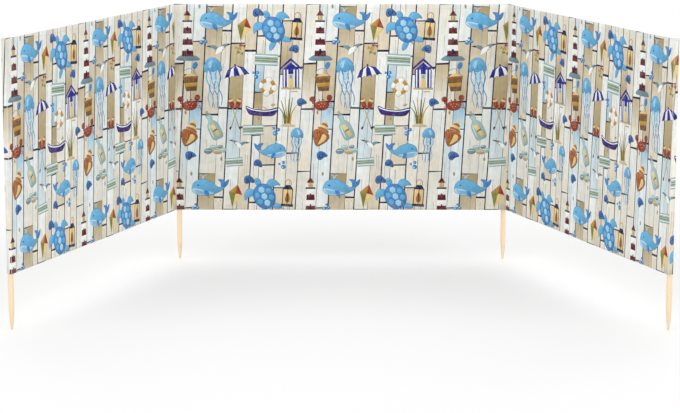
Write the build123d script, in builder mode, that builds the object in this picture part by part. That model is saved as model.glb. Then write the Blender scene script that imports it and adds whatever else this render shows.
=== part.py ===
"""A beach windbreak: three bays of cloth, set up as a splayed U on four pointed poles.

Millimetres and degrees. +Z is up, +X runs along the middle bay, and the sheltered side faces -Y.
The origin is the middle of the flat tip of the second pole, at the left corner.
"""

import os
from math import cos, radians, sin, tan

from build123d import *

os.makedirs("parts", exist_ok=True)

# Cloth
bay_length = 1280.0
cloth_height = 800.0
cloth_thickness = 1.0
wing_turn = 68.5
hem_width = 20.0
hem_thickness = 1.0

# Poles
pole_diameter = 20.0
tip_diameter = 7.5
point_length = 90.0
ground_gap = 195.0
pole_top_chamfer = 1.5

# Pole pockets
pocket_thickness = 1.0
pocket_clearance = 0.4
pocket_slope = 50.0
bend_radius = 3.0
flange_width = 18.0
sewing_gap = 0.3

# Worked out from the sizes above
turn = radians(wing_turn)
slope = radians(pocket_slope)
pole_radius = pole_diameter / 2
tip_radius = tip_diameter / 2
bore_radius = pole_radius + pocket_clearance
cap_thickness = pocket_thickness
pocket_height = cloth_height - cap_thickness
pole_length = ground_gap + pocket_height
hem_fold_radius = 0.6 * hem_thickness
mitre = cloth_thickness * tan(turn / 2)
pole_setback = cloth_thickness + bore_radius
pocket_foot = bore_radius * (1 + sin(slope) + (1 + cos(slope)) / tan(slope))
pocket_reach = pocket_foot + flange_width

# Where each pocket's outer wall stands, along the bay that the pocket is sewn to
corner_wall = -mitre
end_wall = pocket_thickness

# Each bay's frame stands at its left end, on the cloth's front and at its bottom edge, with x towards the
# right end and y to the back. The right wing is the left one's mirror image.
fold = Vector(-corner_wall - bore_radius, -pole_setback, ground_gap)
along_wing = Vector(cos(turn), sin(turn), 0)
wing_end = fold - along_wing * bay_length
middle_frame = Plane(origin=fold, x_dir=(1, 0, 0), z_dir=(0, 0, 1))
wing_frame = Plane(origin=wing_end, x_dir=along_wing, z_dir=(0, 0, 1))
mirror_plane = Plane.YZ.offset(fold.X + bay_length / 2)


def write(part, name):
    """Label a finished piece and write it under its own name."""
    part.label = name
    export_step(part, f"parts/{name}.step")


def write_pair(part, left_name, right_name):
    """Write a piece of the left half, and its mirror image in the right half."""
    write(part, left_name)
    with BuildPart() as twin:
        mirror(part, about=mirror_plane)
    write(twin.part, right_name)


def pole(frame, wall):
    """A round pole behind the cloth, standing on the flat end of its long rounded point."""
    place = frame.from_local_coords(Vector(wall + bore_radius, pole_setback, -ground_gap))
    with BuildPart() as pole:
        with BuildSketch(Plane(origin=place, x_dir=(1, 0, 0), z_dir=(0, -1, 0))):
            with BuildLine():
                tip = Line((0, 0), (tip_radius, 0))
                shank_foot = (pole_radius, point_length)
                TangentArc(shank_foot, tip @ 1, tangent=(0, -1))
                Polyline(
                    shank_foot,
                    (pole_radius, pole_length - pole_top_chamfer),
                    (pole_radius - pole_top_chamfer, pole_length),
                    (0, pole_length),
                    tip @ 0,
                )
            make_face()
        revolve(axis=Axis(place, (0, 0, 1)))
    return pole.part


def panel(frame, left_mitre, right_mitre):
    """One bay of cloth, cut on the mitre where it meets the next bay."""
    with BuildPart() as panel:
        with BuildSketch(frame):
            with BuildLine():
                Polyline(
                    (0, 0),
                    (bay_length, 0),
                    (bay_length + right_mitre, cloth_thickness),
                    (-left_mitre, cloth_thickness),
                    close=True,
                )
            make_face()
        extrude(amount=cloth_height)
    return panel.part


def pocket_path(wall, flange_start):
    """Inner line of a pocket, seen from above: any first flange, outer wall, round back, slope and flange."""
    pole_x = wall + bore_radius
    wall_line = [(wall, cloth_thickness), (wall, pole_setback)]
    if flange_start:
        FilletPolyline(flange_start, *wall_line, radius=bend_radius)
    else:
        Line(*wall_line)
    CenterArc((pole_x, pole_setback), bore_radius, 180, -90 - pocket_slope)
    leave = (pole_x + bore_radius * sin(slope), pole_setback + bore_radius * cos(slope))
    foot = (wall + pocket_foot, cloth_thickness)
    FilletPolyline(leave, foot, (wall + pocket_reach, cloth_thickness), radius=bend_radius)


def pocket(frame, wall, flange_start=None):
    """A strip of cloth of even thickness, sewn to the back of the bay so that it holds the pole."""
    with BuildPart() as pocket:
        with BuildSketch(frame):
            with BuildLine():
                pocket_path(wall, flange_start)
                offset(amount=pocket_thickness, side=Side.LEFT)
            make_face()
        extrude(amount=pocket_height)
    return pocket.part


def pocket_cap(frame, wall):
    """The closed top of a pocket, which rests on the pole and on the pocket's edge."""
    pole_x = wall + bore_radius
    outer_radius = bore_radius + pocket_thickness
    outer_wall = wall - pocket_thickness
    with BuildPart() as cap:
        with BuildSketch(frame.offset(pocket_height)):
            with BuildLine():
                leave = (pole_x + outer_radius * sin(slope), pole_setback + outer_radius * cos(slope))
                foot = (leave[0] + (leave[1] - cloth_thickness) / tan(slope), cloth_thickness)
                CenterArc((pole_x, pole_setback), outer_radius, 180, -90 - pocket_slope)
                Polyline(leave, foot, (outer_wall, cloth_thickness), (outer_wall, pole_setback))
            make_face()
        extrude(amount=cap_thickness)
    return cap.part


def hem(frame, start, end, lowest, fold_side):
    """The cloth's edge, folded to the back of the bay and sewn down between the pockets."""
    with BuildPart() as hem:
        with BuildSketch(frame.offset(lowest)):
            with BuildLine():
                Polyline(
                    (start, cloth_thickness),
                    (end, cloth_thickness),
                    (end, cloth_thickness + hem_thickness),
                    (start, cloth_thickness + hem_thickness),
                    close=True,
                )
            make_face()
        extrude(amount=hem_width)
        folded_face = hem.faces().sort_by(Axis.Z)[fold_side]
        fillet(folded_face.edges().sort_by(Axis((0, 0, 0), frame.y_dir))[-1], hem_fold_radius)
    return hem.part


# Poles
write_pair(pole(wing_frame, end_wall), "pole_1", "pole_4")
write_pair(pole(middle_frame, corner_wall), "pole_2", "pole_3")

# Bays of cloth
write_pair(panel(wing_frame, 0, mitre), "panel_left", "panel_right")
write(panel(middle_frame, mitre, mitre), "panel_centre")

# Pockets and their caps. A corner pocket has a second flange, on the back of the wing.
wing_flange = (corner_wall - flange_width * cos(turn), cloth_thickness - flange_width * sin(turn))
write_pair(pocket(wing_frame, end_wall), "pocket_1", "pocket_4")
write_pair(pocket(middle_frame, corner_wall, wing_flange), "pocket_2", "pocket_3")
write_pair(pocket_cap(wing_frame, end_wall), "pocket_cap_1", "pocket_cap_4")
write_pair(pocket_cap(middle_frame, corner_wall), "pocket_cap_2", "pocket_cap_3")

# Hems, from pocket to pocket
wing_hem = (end_wall + pocket_reach + sewing_gap, bay_length + mitre - flange_width - sewing_gap)
middle_start = corner_wall + pocket_reach + sewing_gap
middle_hem = (middle_start, bay_length - middle_start)
for edge, lowest, fold_side in (("top", cloth_height - hem_width, -1), ("bottom", 0, 0)):
    write_pair(hem(wing_frame, *wing_hem, lowest, fold_side), f"{edge}_hem_left", f"{edge}_hem_right")
    write(hem(middle_frame, *middle_hem, lowest, fold_side), f"{edge}_hem_centre")
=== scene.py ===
"""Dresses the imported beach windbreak: printed cloth, hems, pole pockets, stitches and pointed wooden poles.

Metres, apart from the print, which is drawn in millimetres: x runs to the right from the left end of a bay,
and y runs up from its top edge, so that the cloth lies below zero.
"""

import logging
import math
import random
from bisect import bisect_right
from collections.abc import Callable, Iterator, Sequence
from dataclasses import dataclass, field, replace
from enum import Enum

import bpy
import numpy as np
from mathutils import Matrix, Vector
from mathutils.geometry import delaunay_2d_cdt


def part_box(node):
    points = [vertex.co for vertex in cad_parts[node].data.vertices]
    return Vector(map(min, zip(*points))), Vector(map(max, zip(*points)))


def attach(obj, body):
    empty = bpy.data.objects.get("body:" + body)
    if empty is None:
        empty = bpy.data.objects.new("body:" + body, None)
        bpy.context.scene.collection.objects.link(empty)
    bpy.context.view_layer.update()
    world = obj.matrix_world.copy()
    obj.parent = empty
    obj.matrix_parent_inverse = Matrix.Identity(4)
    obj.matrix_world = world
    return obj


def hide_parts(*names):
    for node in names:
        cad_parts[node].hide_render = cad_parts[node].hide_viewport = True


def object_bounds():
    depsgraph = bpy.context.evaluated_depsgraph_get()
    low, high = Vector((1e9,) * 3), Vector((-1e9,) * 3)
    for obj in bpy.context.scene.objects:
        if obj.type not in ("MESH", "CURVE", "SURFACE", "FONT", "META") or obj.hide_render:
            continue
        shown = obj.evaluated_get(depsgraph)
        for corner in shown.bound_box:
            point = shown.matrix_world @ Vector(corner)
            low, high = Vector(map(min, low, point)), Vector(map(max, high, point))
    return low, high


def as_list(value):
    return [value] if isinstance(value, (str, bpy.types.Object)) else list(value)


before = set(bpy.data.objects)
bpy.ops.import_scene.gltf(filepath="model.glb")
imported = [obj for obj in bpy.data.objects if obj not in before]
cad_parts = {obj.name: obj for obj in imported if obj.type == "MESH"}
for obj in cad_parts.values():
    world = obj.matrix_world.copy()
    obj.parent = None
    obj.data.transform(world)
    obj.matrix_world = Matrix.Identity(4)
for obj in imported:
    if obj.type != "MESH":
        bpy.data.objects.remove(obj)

cad_low, cad_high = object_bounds()

log = logging.getLogger("windbreak")

Point = tuple[float, float]
Triple = tuple[float, float, float]
Colour = tuple[float, float, float, float]
Box = tuple[float, float, float, float]
Range = tuple[float, float]
Outline = list[Point]
Lay = Callable[[float, float, float], Vector]

MM = 0.001
BODY = "root"
BOTH_SIDES = (-1, 1)

# How fast a patch grows lighter upwards and to the left, and how fast its ink fades, by its own size
LIGHT_UP = 1.1
LIGHT_LEFT = 0.9
FADE_RATE = 1.4


class Ink(Enum):
    """Inks of the print, as they look on white cloth."""

    JOINT = "25233F"
    SEAM = "76707F"
    CHALK = "F6F9F5"
    CREAM = "F3EFE2"
    SHELL = "EEE6D4"
    OAT = "E7DAC0"
    SAND = "D2C29F"
    DUNE = "BBA87E"
    DRIFT = "D9D2C0"
    FROST = "E6F3F6"
    MIST = "D3E6EE"
    BLUEWASH = "A9D4EA"
    FOAM = "FBFAF6"
    PALE_SKY = "A9D6EC"
    SKY = "66AED8"
    AZURE = "4186C4"
    STEEL = "3D6CA8"
    NAVY = "23298A"
    MIDNIGHT = "1B2047"
    MAROON = "621A21"
    BRICK = "963A28"
    RUST = "A8622E"
    UMBER = "75562E"
    GOLD = "C29137"
    STRAW = "E6CC8B"
    OLIVE = "80803A"
    MOSS = "596A36"
    TEAL = "A1BFBA"
    SLATE = "73909A"

    @property
    def linear(self) -> Colour:
        """The ink's colour as linear light."""
        return linear_colour(self.value)


def linear_colour(code: str) -> Colour:
    """Turns a written colour into linear light.

    Args:
        code: Six hexadecimal digits, as red, green and blue.

    Returns:
        Red, green, blue and alpha from 0 to 1.
    """
    parts = [int(code[i : i + 2], 16) / 255 for i in (0, 2, 4)]
    red, green, blue = (p / 12.92 if p <= 0.04045 else ((p + 0.055) / 1.055) ** 2.4 for p in parts)
    return red, green, blue, 1.0


@dataclass(frozen=True)
class Patch:
    """One shape of the print. Later patches lie over earlier ones.

    Its ink may fade to another towards its foot. Shade lightens its top left, tone lightens all of it, grain
    is how much printed wood shows in it, and edge is the ink of a rim round it.
    """

    outline: Outline
    ink: Ink
    shade: float = 0.16
    edge: Ink | None = None
    grain: float = 0.0
    tone: float = 1.0
    fades_to: Ink | None = None


def box_of(outline: Outline) -> Box:
    """Lowest x and y of an outline, then highest x and y."""
    xs, ys = zip(*outline)
    return min(xs), min(ys), max(xs), max(ys)


def area_of(outline: Outline) -> float:
    """Signed area of an outline, above zero where it runs anticlockwise."""
    ahead = outline[1:] + outline[:1]
    return sum(a[0] * b[1] - b[0] * a[1] for a, b in zip(outline, ahead)) / 2


def moved(
    outline: Sequence[Point], x: float, y: float, turn: float = 0.0, scale: float = 1.0, flip: bool = False
) -> Outline:
    """Places an outline.

    Args:
        outline: Points to place.
        x: Distance to the right.
        y: Distance up.
        turn: Angle to turn by first, in degrees.
        scale: Factor of size.
        flip: Whether left and right change places before the turn.

    Returns:
        The placed outline.
    """
    c, s = math.cos(math.radians(turn)) * scale, math.sin(math.radians(turn)) * scale
    side = -1 if flip else 1
    return [(x + c * side * px - s * py, y + s * side * px + c * py) for px, py in outline]


def sided(side: int, *points: Point) -> Outline:
    """Gives points as they are for side 1, and mirrored about the upright axis for side -1."""
    return [(side * x, y) for x, y in points]


def slab(x: float, y: float, width: float, height: float, turn: float = 0.0) -> Outline:
    """Draws a rectangle about its middle, turned by an angle in degrees."""
    w, h = width / 2, height / 2
    return moved([(-w, -h), (w, -h), (w, h), (-w, h)], x, y, turn)


def oval(
    x: float,
    y: float,
    half_width: float,
    half_height: float,
    turn: float = 0.0,
    start: float = 0.0,
    sweep: float = 360.0,
    steps: int = 16,
) -> Outline:
    """Draws an ellipse, or an arc of one.

    Args:
        x: Middle, to the right.
        y: Middle, up.
        half_width: Radius along its own x.
        half_height: Radius along its own y.
        turn: Angle that the whole shape is turned by, in degrees.
        start: Angle where the arc starts, in degrees.
        sweep: Angle that the arc covers, in degrees.
        steps: Straight edges in the arc.

    Returns:
        The outline.
    """
    count = steps if abs(sweep) >= 360 else steps + 1
    angles = [math.radians(start + sweep * i / steps) for i in range(count)]
    return moved([(half_width * math.cos(a), half_height * math.sin(a)) for a in angles], x, y, turn)


def disc(x: float, y: float, radius: float, steps: int = 8) -> Outline:
    """Draws a small disc with that many edges."""
    return oval(x, y, radius, radius, steps=steps)


def through(points: Sequence[Point], closed: bool, steps: int = 4) -> Outline:
    """Runs a smooth curve through points.

    Args:
        points: Points on the curve.
        closed: Whether the curve returns to its first point.
        steps: Straight edges from one point to the next.

    Returns:
        Points of the curve.
    """
    count = len(points)
    curve = []
    for i in range(count if closed else count - 1):
        near = (i + k if closed else min(max(i + k, 0), count - 1) for k in (-1, 0, 1, 2))
        four = [points[k % count] for k in near]
        for step in range(steps):
            t = step / steps
            weights = (
                0.5 * (-t + 2 * t * t - t**3),
                0.5 * (2 - 5 * t * t + 3 * t**3),
                0.5 * (t + 4 * t * t - 3 * t**3),
                0.5 * (t**3 - t * t),
            )
            curve.append(tuple(sum(w * p[axis] for w, p in zip(weights, four)) for axis in (0, 1)))
    return curve if closed else [*curve, tuple(points[-1])]


def blob(*points: Point) -> Outline:
    """Draws a closed smooth shape through a few points on its edge."""
    return through(points, True)


def brush(*points: Point, wide: float = 3.0, thin: float | None = None, steps: int = 4) -> Outline:
    """Draws a brush stroke along a smooth line.

    Args:
        points: Points that the stroke runs through.
        wide: Width where it starts.
        thin: Width where it ends, or None for an even stroke.
        steps: Straight edges from one point to the next.

    Returns:
        The outline.
    """
    line = through(points, False, steps)
    last = len(line) - 1
    end = wide if thin is None else thin
    left, right = [], []
    for i, (x, y) in enumerate(line):
        ahead, behind = line[min(i + 1, last)], line[max(i - 1, 0)]
        dx, dy = ahead[0] - behind[0], ahead[1] - behind[1]
        reach = math.hypot(dx, dy) or 1.0
        half = (wide + (end - wide) * i / last) / 2
        left.append((x - dy / reach * half, y + dx / reach * half))
        right.append((x + dy / reach * half, y - dx / reach * half))
    return left + right[::-1]


def grown(outline: Outline, margin: float) -> Outline:
    """Grows an outline outwards by about the same margin all round.

    Args:
        outline: Outline to grow.
        margin: Distance that each edge moves by.

    Returns:
        The larger outline.
    """
    points = outline if area_of(outline) > 0 else outline[::-1]
    larger = []
    for i, (x, y) in enumerate(points):
        before, after = points[i - 1], points[(i + 1) % len(points)]
        dx, dy = after[0] - before[0], after[1] - before[1]
        reach = math.hypot(dx, dy) or 1.0
        larger.append((x + dy / reach * margin, y - dx / reach * margin))
    return larger


def whale() -> Iterator[Patch]:
    """Draws a whale that swims to the left and blows.

    Yields:
        Its patches.
    """
    for bend in BOTH_SIDES:
        spray = brush((-26, 30), (-26 + 4 * bend, 42), (-26 + 14 * bend, 47), wide=5, thin=1.5)
        yield Patch(spray, Ink.PALE_SKY)
    tail = blob((50, 4), (45, 24), (34, 34), (53, 34), (61, 27), (74, 38), (72, 20), (61, 6))
    yield Patch(tail, Ink.AZURE, 0.25, Ink.STEEL)
    back = [(-64, -10), (-56, 14), (-28, 28), (8, 22), (36, 4), (54, 8), (60, 2)]
    under = [(42, -14), (10, -29), (-28, -35), (-56, -27)]
    yield Patch(blob(*back, *under), Ink.SKY, 0.3, Ink.STEEL)
    belly = blob((-63, -13), (-42, -10), (-12, -15), (22, -20), (4, -29), (-30, -35), (-56, -27))
    yield Patch(belly, Ink.PALE_SKY)
    for i in range(4):
        yield Patch(brush((-56 + 4 * i, -17 - 4 * i), (-20 + 4 * i, -20 - 3.4 * i), wide=1.4), Ink.AZURE)
    yield Patch(blob((-18, -16), (0, -17), (5, -38), (-8, -34)), Ink.AZURE)
    yield Patch(disc(-42, 3, 3, 16), Ink.MIDNIGHT)


def turtle() -> Iterator[Patch]:
    """Draws a swimming turtle, seen from above.

    Yields:
        Its patches.
    """
    front = [(20, 30), (40, 46), (58, 36), (66, 14), (54, 20), (32, 18)]
    rear = [(16, -34), (34, -44), (40, -60), (26, -58), (10, -44)]
    for side in BOTH_SIDES:
        for limb in (front, rear):
            yield Patch(blob(*sided(side, *limb)), Ink.SKY, 0.3, Ink.STEEL)
    yield Patch(oval(0, 55, 10, 14), Ink.SKY, 0.3, Ink.STEEL)
    yield Patch([(-5, -42), (5, -42), (0, -58)], Ink.SKY)
    yield Patch(oval(0, 0, 37, 45, steps=24), Ink.AZURE, 0.3, Ink.NAVY)
    for y in (25, 0, -25):
        yield Patch(oval(0, y, 11, 12, steps=6), Ink.PALE_SKY)
    for side in BOTH_SIDES:
        for y in (13, -12):
            yield Patch(oval(side * 21, y, 9.5, 11, steps=6), Ink.SKY)
        yield Patch(disc(side * 3.5, 60, 1.6), Ink.MIDNIGHT)


def lighthouse() -> Iterator[Patch]:
    """Draws a banded lighthouse on a rock.

    Yields:
        Its patches.
    """
    yield Patch(blob((-36, -88), (-30, -74), (-8, -68), (14, -70), (32, -74), (38, -88)), Ink.SLATE, 0.3)
    bands, foot, head = 6, -74, 44
    for i in range(bands):
        low, high = (foot + (head - foot) * (i + k) / bands for k in (0, 1))
        a, b = (20 - 8 * (y - foot) / (head - foot) for y in (low, high))
        yield Patch([(-a, low), (a, low), (b, high), (-b, high)], Ink.FOAM if i % 2 else Ink.MAROON, 0.2)
    yield Patch(slab(0, 47, 34, 6), Ink.MIDNIGHT)
    yield Patch(slab(0, 58, 18, 17), Ink.STRAW)
    for x in (-5, 0, 5):
        yield Patch(slab(x, 58, 1.5, 17), Ink.MIDNIGHT)
    yield Patch([(-13, 66), (13, 66), (3, 82), (-3, 82)], Ink.MAROON)
    yield Patch(slab(0, 85, 2.5, 7), Ink.MAROON)
    yield Patch(oval(0, -58, 5, 10), Ink.MIDNIGHT)
    for y in (-14, 24):
        yield Patch(slab(0, y, 5, 8), Ink.MIDNIGHT)


def kite() -> Iterator[Patch]:
    """Draws a kite with a tail of bows.

    Yields:
        Its patches.
    """
    tail = [(0, -30), (10, -46), (-4, -60), (8, -76)]
    yield Patch(brush(*tail, wide=1.6), Ink.MAROON)
    corners = [(0, 62), (27, 26), (0, -32), (-27, 26)]
    inks = (Ink.BRICK, Ink.STRAW, Ink.OLIVE, Ink.GOLD)
    for a, b, ink in zip(corners, corners[1:] + corners[:1], inks):
        yield Patch([(0, 26), a, b], ink, 0.2)
    for (x, y), ink in zip(tail[1:], (Ink.BRICK, Ink.GOLD, Ink.OLIVE)):
        for side in BOTH_SIDES:
            yield Patch([(x, y), (x + side * 12, y + 7), (x + side * 12, y - 7)], ink)


def gull() -> Iterator[Patch]:
    """Draws a gull in flight.

    Yields:
        Its patches.
    """
    for side in BOTH_SIDES:
        wing = sided(side, (0, 6), (22, 24), (56, 22), (30, 11), (12, -6), (0, -8))
        yield Patch(blob(*wing), Ink.SLATE, 0.2)
        yield Patch(sided(side, (40, 24), (60, 22), (36, 14)), Ink.MIDNIGHT)
    yield Patch(blob((-12, 4), (2, 12), (14, 8), (10, -6), (-4, -14), (-20, -20), (-16, -8)), Ink.FOAM, 0.2)
    yield Patch(oval(15, 9, 8, 6.5), Ink.FOAM)
    yield Patch([(21, 11), (21, 6), (32, 6)], Ink.GOLD)
    yield Patch(disc(17, 11, 1.4), Ink.MIDNIGHT)


def bucket() -> Iterator[Patch]:
    """Draws a bucket of sand with a spade in it.

    Yields:
        Its patches.
    """
    yield Patch(slab(16, 34, 4.5, 50, -18), Ink.DUNE)
    yield Patch(blob((14, 46), (26, 46), (36, 62), (30, 74), (18, 70), (12, 58)), Ink.AZURE, 0.25)
    yield Patch(blob((-28, 10), (-14, 24), (6, 26), (26, 12), (0, 4)), Ink.STRAW)
    yield Patch(brush((-30, 12), (-22, 40), (6, 46), (30, 12), wide=2.6), Ink.SLATE)
    yield Patch([(-21, -46), (21, -46), (31, 12), (-31, 12)], Ink.UMBER, 0.3, Ink.MIDNIGHT)
    yield Patch([(-24, -28), (24, -28), (27, -12), (-27, -12)], Ink.GOLD, 0.25)
    yield Patch(slab(0, 12, 66, 7), Ink.RUST)


def jellyfish() -> Iterator[Patch]:
    """Draws a jellyfish with long arms.

    Yields:
        Its patches.
    """
    for i in range(6):
        x = -21 + 8.4 * i
        sway = 5 if i % 2 else -5
        end = -78 - 14 * math.sin(math.pi * (i + 0.5) / 6)
        arm = brush((x, 48), (x + sway, 18), (x - sway, -16), (x + sway, -50), (x, end), wide=5.4, thin=2.4)
        yield Patch(arm, Ink.AZURE if i % 2 else Ink.SKY)
    for x, sway in ((-6, 8), (7, -8)):
        frill = brush((x, 46), (x + sway, 22), (x - sway, 0), (x + sway, -26), wide=8, thin=2)
        yield Patch(frill, Ink.PALE_SKY)
    dome = [(-30, 44), (-31, 66), (-18, 88), (0, 95), (18, 88), (31, 66), (30, 44)]
    yield Patch(blob(*dome, (16, 50), (0, 43), (-16, 50)), Ink.SKY, 0.35, Ink.STEEL)
    yield Patch(blob((-18, 62), (-12, 80), (2, 86), (-2, 74), (-6, 60)), Ink.PALE_SKY)
    for x in (-18, 0, 18):
        yield Patch(brush((x, 50), (x * 0.9, 62), (x * 0.6, 74), wide=2, thin=1), Ink.AZURE)


def parasol() -> Iterator[Patch]:
    """Draws an open beach parasol.

    Yields:
        Its patches.
    """
    yield Patch(slab(0, -22, 4.6, 80), Ink.DUNE)
    ribs = (-48, -30, -11, 11, 30, 48)
    for i, (a, b) in enumerate(zip(ribs, ribs[1:])):
        side = [(0, 46), (a * 0.62, 34), (a, 4), ((a + b) / 2, 8), (b, 4), (b * 0.62, 34)]
        yield Patch(side, Ink.FOAM if i % 2 else Ink.NAVY, 0.3, Ink.NAVY)
    yield Patch(oval(0, 48, 3.5, 5), Ink.MAROON)


def oars() -> Iterator[Patch]:
    """Draws a crossed pair of oars.

    Yields:
        Its patches.
    """
    for side in BOTH_SIDES:
        turn = side * 18
        yield Patch(slab(0, -8, 4.4, 112, turn), Ink.DUNE)
        blade = blob((-7, 26), (-10, 46), (-6, 64), (6, 64), (10, 46), (7, 26))
        yield Patch(moved(blade, 0, -2, turn), Ink.BRICK, 0.3)
        yield Patch(slab(-side * 17, 52, 17, 9, turn), Ink.STRAW)
        yield Patch(slab(side * 19, -60, 7, 12, turn), Ink.MAROON)


def beach_hut() -> Iterator[Patch]:
    """Draws a striped beach hut.

    Yields:
        Its patches.
    """
    yield Patch(slab(0, -50, 66, 6), Ink.DUNE)
    yield Patch([(-28, -47), (28, -47), (28, 14), (0, 38), (-28, 14)], Ink.NAVY, 0.3)
    for x in (-22, -11, 11, 22):
        yield Patch(slab(x, -16, 4.4, 60), Ink.FOAM)
    yield Patch(slab(0, -24, 18, 46), Ink.STRAW)
    yield Patch(slab(0, -10, 10, 12), Ink.SKY)
    yield Patch([(-36, 12), (0, 44), (36, 12), (36, 20), (0, 53), (-36, 20)], Ink.NAVY, 0.1)
    yield Patch(slab(12, -60, 22, 4), Ink.DUNE)


def lantern() -> Iterator[Patch]:
    """Draws a hanging lantern.

    Yields:
        Its patches.
    """
    yield Patch(brush((-9, 31), (-8, 43), (0, 48), (8, 43), (9, 31), wide=2.6), Ink.GOLD)
    yield Patch([(-8, 31), (8, 31), (17, 17), (-17, 17)], Ink.MIDNIGHT, 0.3)
    yield Patch(slab(0, -6, 30, 46), Ink.STRAW, 0.25)
    yield Patch(blob((-5, -22), (-7, -8), (0, 8), (7, -8), (5, -22)), Ink.RUST)
    for x in (-15, 0, 15):
        yield Patch(slab(x, -6, 2.6, 46), Ink.MIDNIGHT)
    yield Patch(slab(0, -33, 38, 8), Ink.MIDNIGHT, 0.3)


def crab() -> Iterator[Patch]:
    """Draws a crab with its claws up.

    Yields:
        Its patches.
    """
    for side in BOTH_SIDES:
        for i in range(3):
            leg = sided(side, (22, -2 - 5 * i), (40, 4 - 8 * i), (46, -12 - 7 * i))
            yield Patch(brush(*leg, wide=4, thin=1.5), Ink.RUST)
        yield Patch(brush(*sided(side, (22, 8), (38, 14), (36, 24)), wide=6), Ink.BRICK)
        claw = sided(side, (28, 22), (26, 36), (35, 44), (36, 34), (40, 44), (48, 34), (42, 22))
        yield Patch(blob(*claw), Ink.BRICK, 0.3, Ink.MAROON)
        yield Patch(brush(*sided(side, (8, 12), (9, 24)), wide=2.6), Ink.RUST)
        yield Patch(disc(side * 9, 26, 3.2, 10), Ink.MIDNIGHT)
    shell = blob((-32, 4), (-20, 17), (0, 20), (20, 17), (32, 4), (20, -16), (0, -20), (-20, -16))
    yield Patch(shell, Ink.BRICK, 0.3, Ink.MAROON)
    for x, y in ((-12, 6), (0, 9), (12, 6), (-6, -4), (6, -4)):
        yield Patch(oval(x, y, 2.4, 1.8, steps=8), Ink.STRAW)


def conch() -> Iterator[Patch]:
    """Draws a spired sea shell.

    Yields:
        Its patches.
    """
    for i in range(5):
        yield Patch(oval(3, 46 - 10 * i, 9 + 5.2 * i, 8.5, -8), Ink.RUST if i % 2 else Ink.STRAW, 0.3)
    body = blob((-31, 2), (-14, 12), (14, 10), (34, -2), (30, -24), (8, -50), (-6, -54), (-24, -28))
    yield Patch(body, Ink.RUST, 0.35, Ink.MAROON)
    for x in (-14, -2, 10):
        yield Patch(brush((x - 8, 6), (x + 2, -14), (x - 2, -34), wide=2.4, thin=1.2), Ink.MAROON)
    yield Patch(blob((6, -2), (22, -4), (24, -20), (8, -42), (0, -46), (4, -26)), Ink.STRAW, 0.3)


def rowing_boat() -> Iterator[Patch]:
    """Draws a rowing boat from the side.

    Yields:
        Its patches.
    """
    yield Patch(slab(10, 12, 3, 62, 64), Ink.DUNE)
    yield Patch(blob((34, 22), (44, 30), (52, 26), (44, 18)), Ink.DUNE)
    hull = blob((-60, 12), (-30, 3), (20, 2), (62, 14), (52, -12), (30, -20), (-34, -20), (-50, -12))
    yield Patch(hull, Ink.NAVY, 0.3, Ink.MIDNIGHT)
    yield Patch(brush((-58, 8), (-28, -1), (22, -2), (60, 9), wide=4), Ink.FOAM)
    yield Patch(brush((-52, -8), (-26, -12), (26, -13), (54, -7), wide=3.4), Ink.MAROON)
    for x in (-22, 16):
        yield Patch(slab(x, 5, 16, 3), Ink.STRAW)


def life_ring() -> Iterator[Patch]:
    """Draws a banded life ring with its rope.

    Yields:
        Its patches.
    """
    bands = 8
    sweep = 360 / bands
    for i in range(bands):
        start = 360 * i / bands + 12
        outer, inner = (oval(0, 0, r, r, start=start, sweep=sweep, steps=5) for r in (35, 19))
        yield Patch(outer + inner[::-1], Ink.FOAM if i % 2 else Ink.GOLD, 0.25)
        if i % 2:
            ends = [math.radians(start + sweep * k) for k in (0, 0.5, 1)]
            rope = [(r * math.cos(a), r * math.sin(a)) for r, a in zip((36, 42, 36), ends)]
            yield Patch(brush(*rope, wide=2), Ink.DUNE)


def grass() -> Iterator[Patch]:
    """Draws a tuft of dune grass.

    Yields:
        Its patches.
    """
    blades = ((-30, 22), (-20, 46), (-8, 60), (5, 50), (17, 58), (29, 26))
    for i, (lean, height) in enumerate(blades):
        foot = -10 + 4 * i
        blade = brush((foot, -56), (foot + lean * 0.25, -8), (foot + lean, height), wide=8, thin=2)
        yield Patch(blade, (Ink.OLIVE, Ink.MOSS, Ink.GOLD)[i % 3], 0.3)
    yield Patch(blob((-28, -62), (-16, -52), (4, -50), (22, -54), (30, -63)), Ink.SAND)


def bottle() -> Iterator[Patch]:
    """Draws a corked bottle with a rolled paper.

    Yields:
        Its patches.
    """
    yield Patch(slab(0, 50, 9, 12), Ink.DUNE)
    left = [(-18, -46), (-20, -8), (-16, 8), (-7, 20), (-7, 42)]
    glass = blob(*left, *sided(-1, *left[::-1]), (0, -50))
    yield Patch(glass, Ink.TEAL, 0.3, Ink.SLATE)
    yield Patch(slab(0, 42, 18, 5), Ink.SLATE)
    yield Patch(slab(1, -18, 14, 46, 12), Ink.STRAW, 0.25)
    yield Patch(slab(1, -18, 17, 4, 12), Ink.MAROON)
    yield Patch(brush((-14, -38), (-14, -4), (-9, 8), wide=2.4, thin=1), Ink.FOAM)


def pebbles() -> Iterator[Patch]:
    """Draws a few smooth pebbles.

    Yields:
        Its patches.
    """
    stones = (
        (-28, -8, 18, 12, 8, Ink.SLATE),
        (8, -10, 20, 11, -6, Ink.DUNE),
        (34, -4, 13, 10, 16, Ink.TEAL),
        (-8, 8, 16, 10, -10, Ink.TEAL),
        (20, 10, 12, 8, 12, Ink.SLATE),
    )
    for x, y, half_width, half_height, turn, ink in stones:
        yield Patch(oval(x, y, half_width, half_height, turn), ink, 0.35)
        band = brush((x - half_width * 0.6, y + 2), (x, y + 4), (x + half_width * 0.6, y + 2), wide=1.6)
        yield Patch(band, Ink.FOAM)


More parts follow.
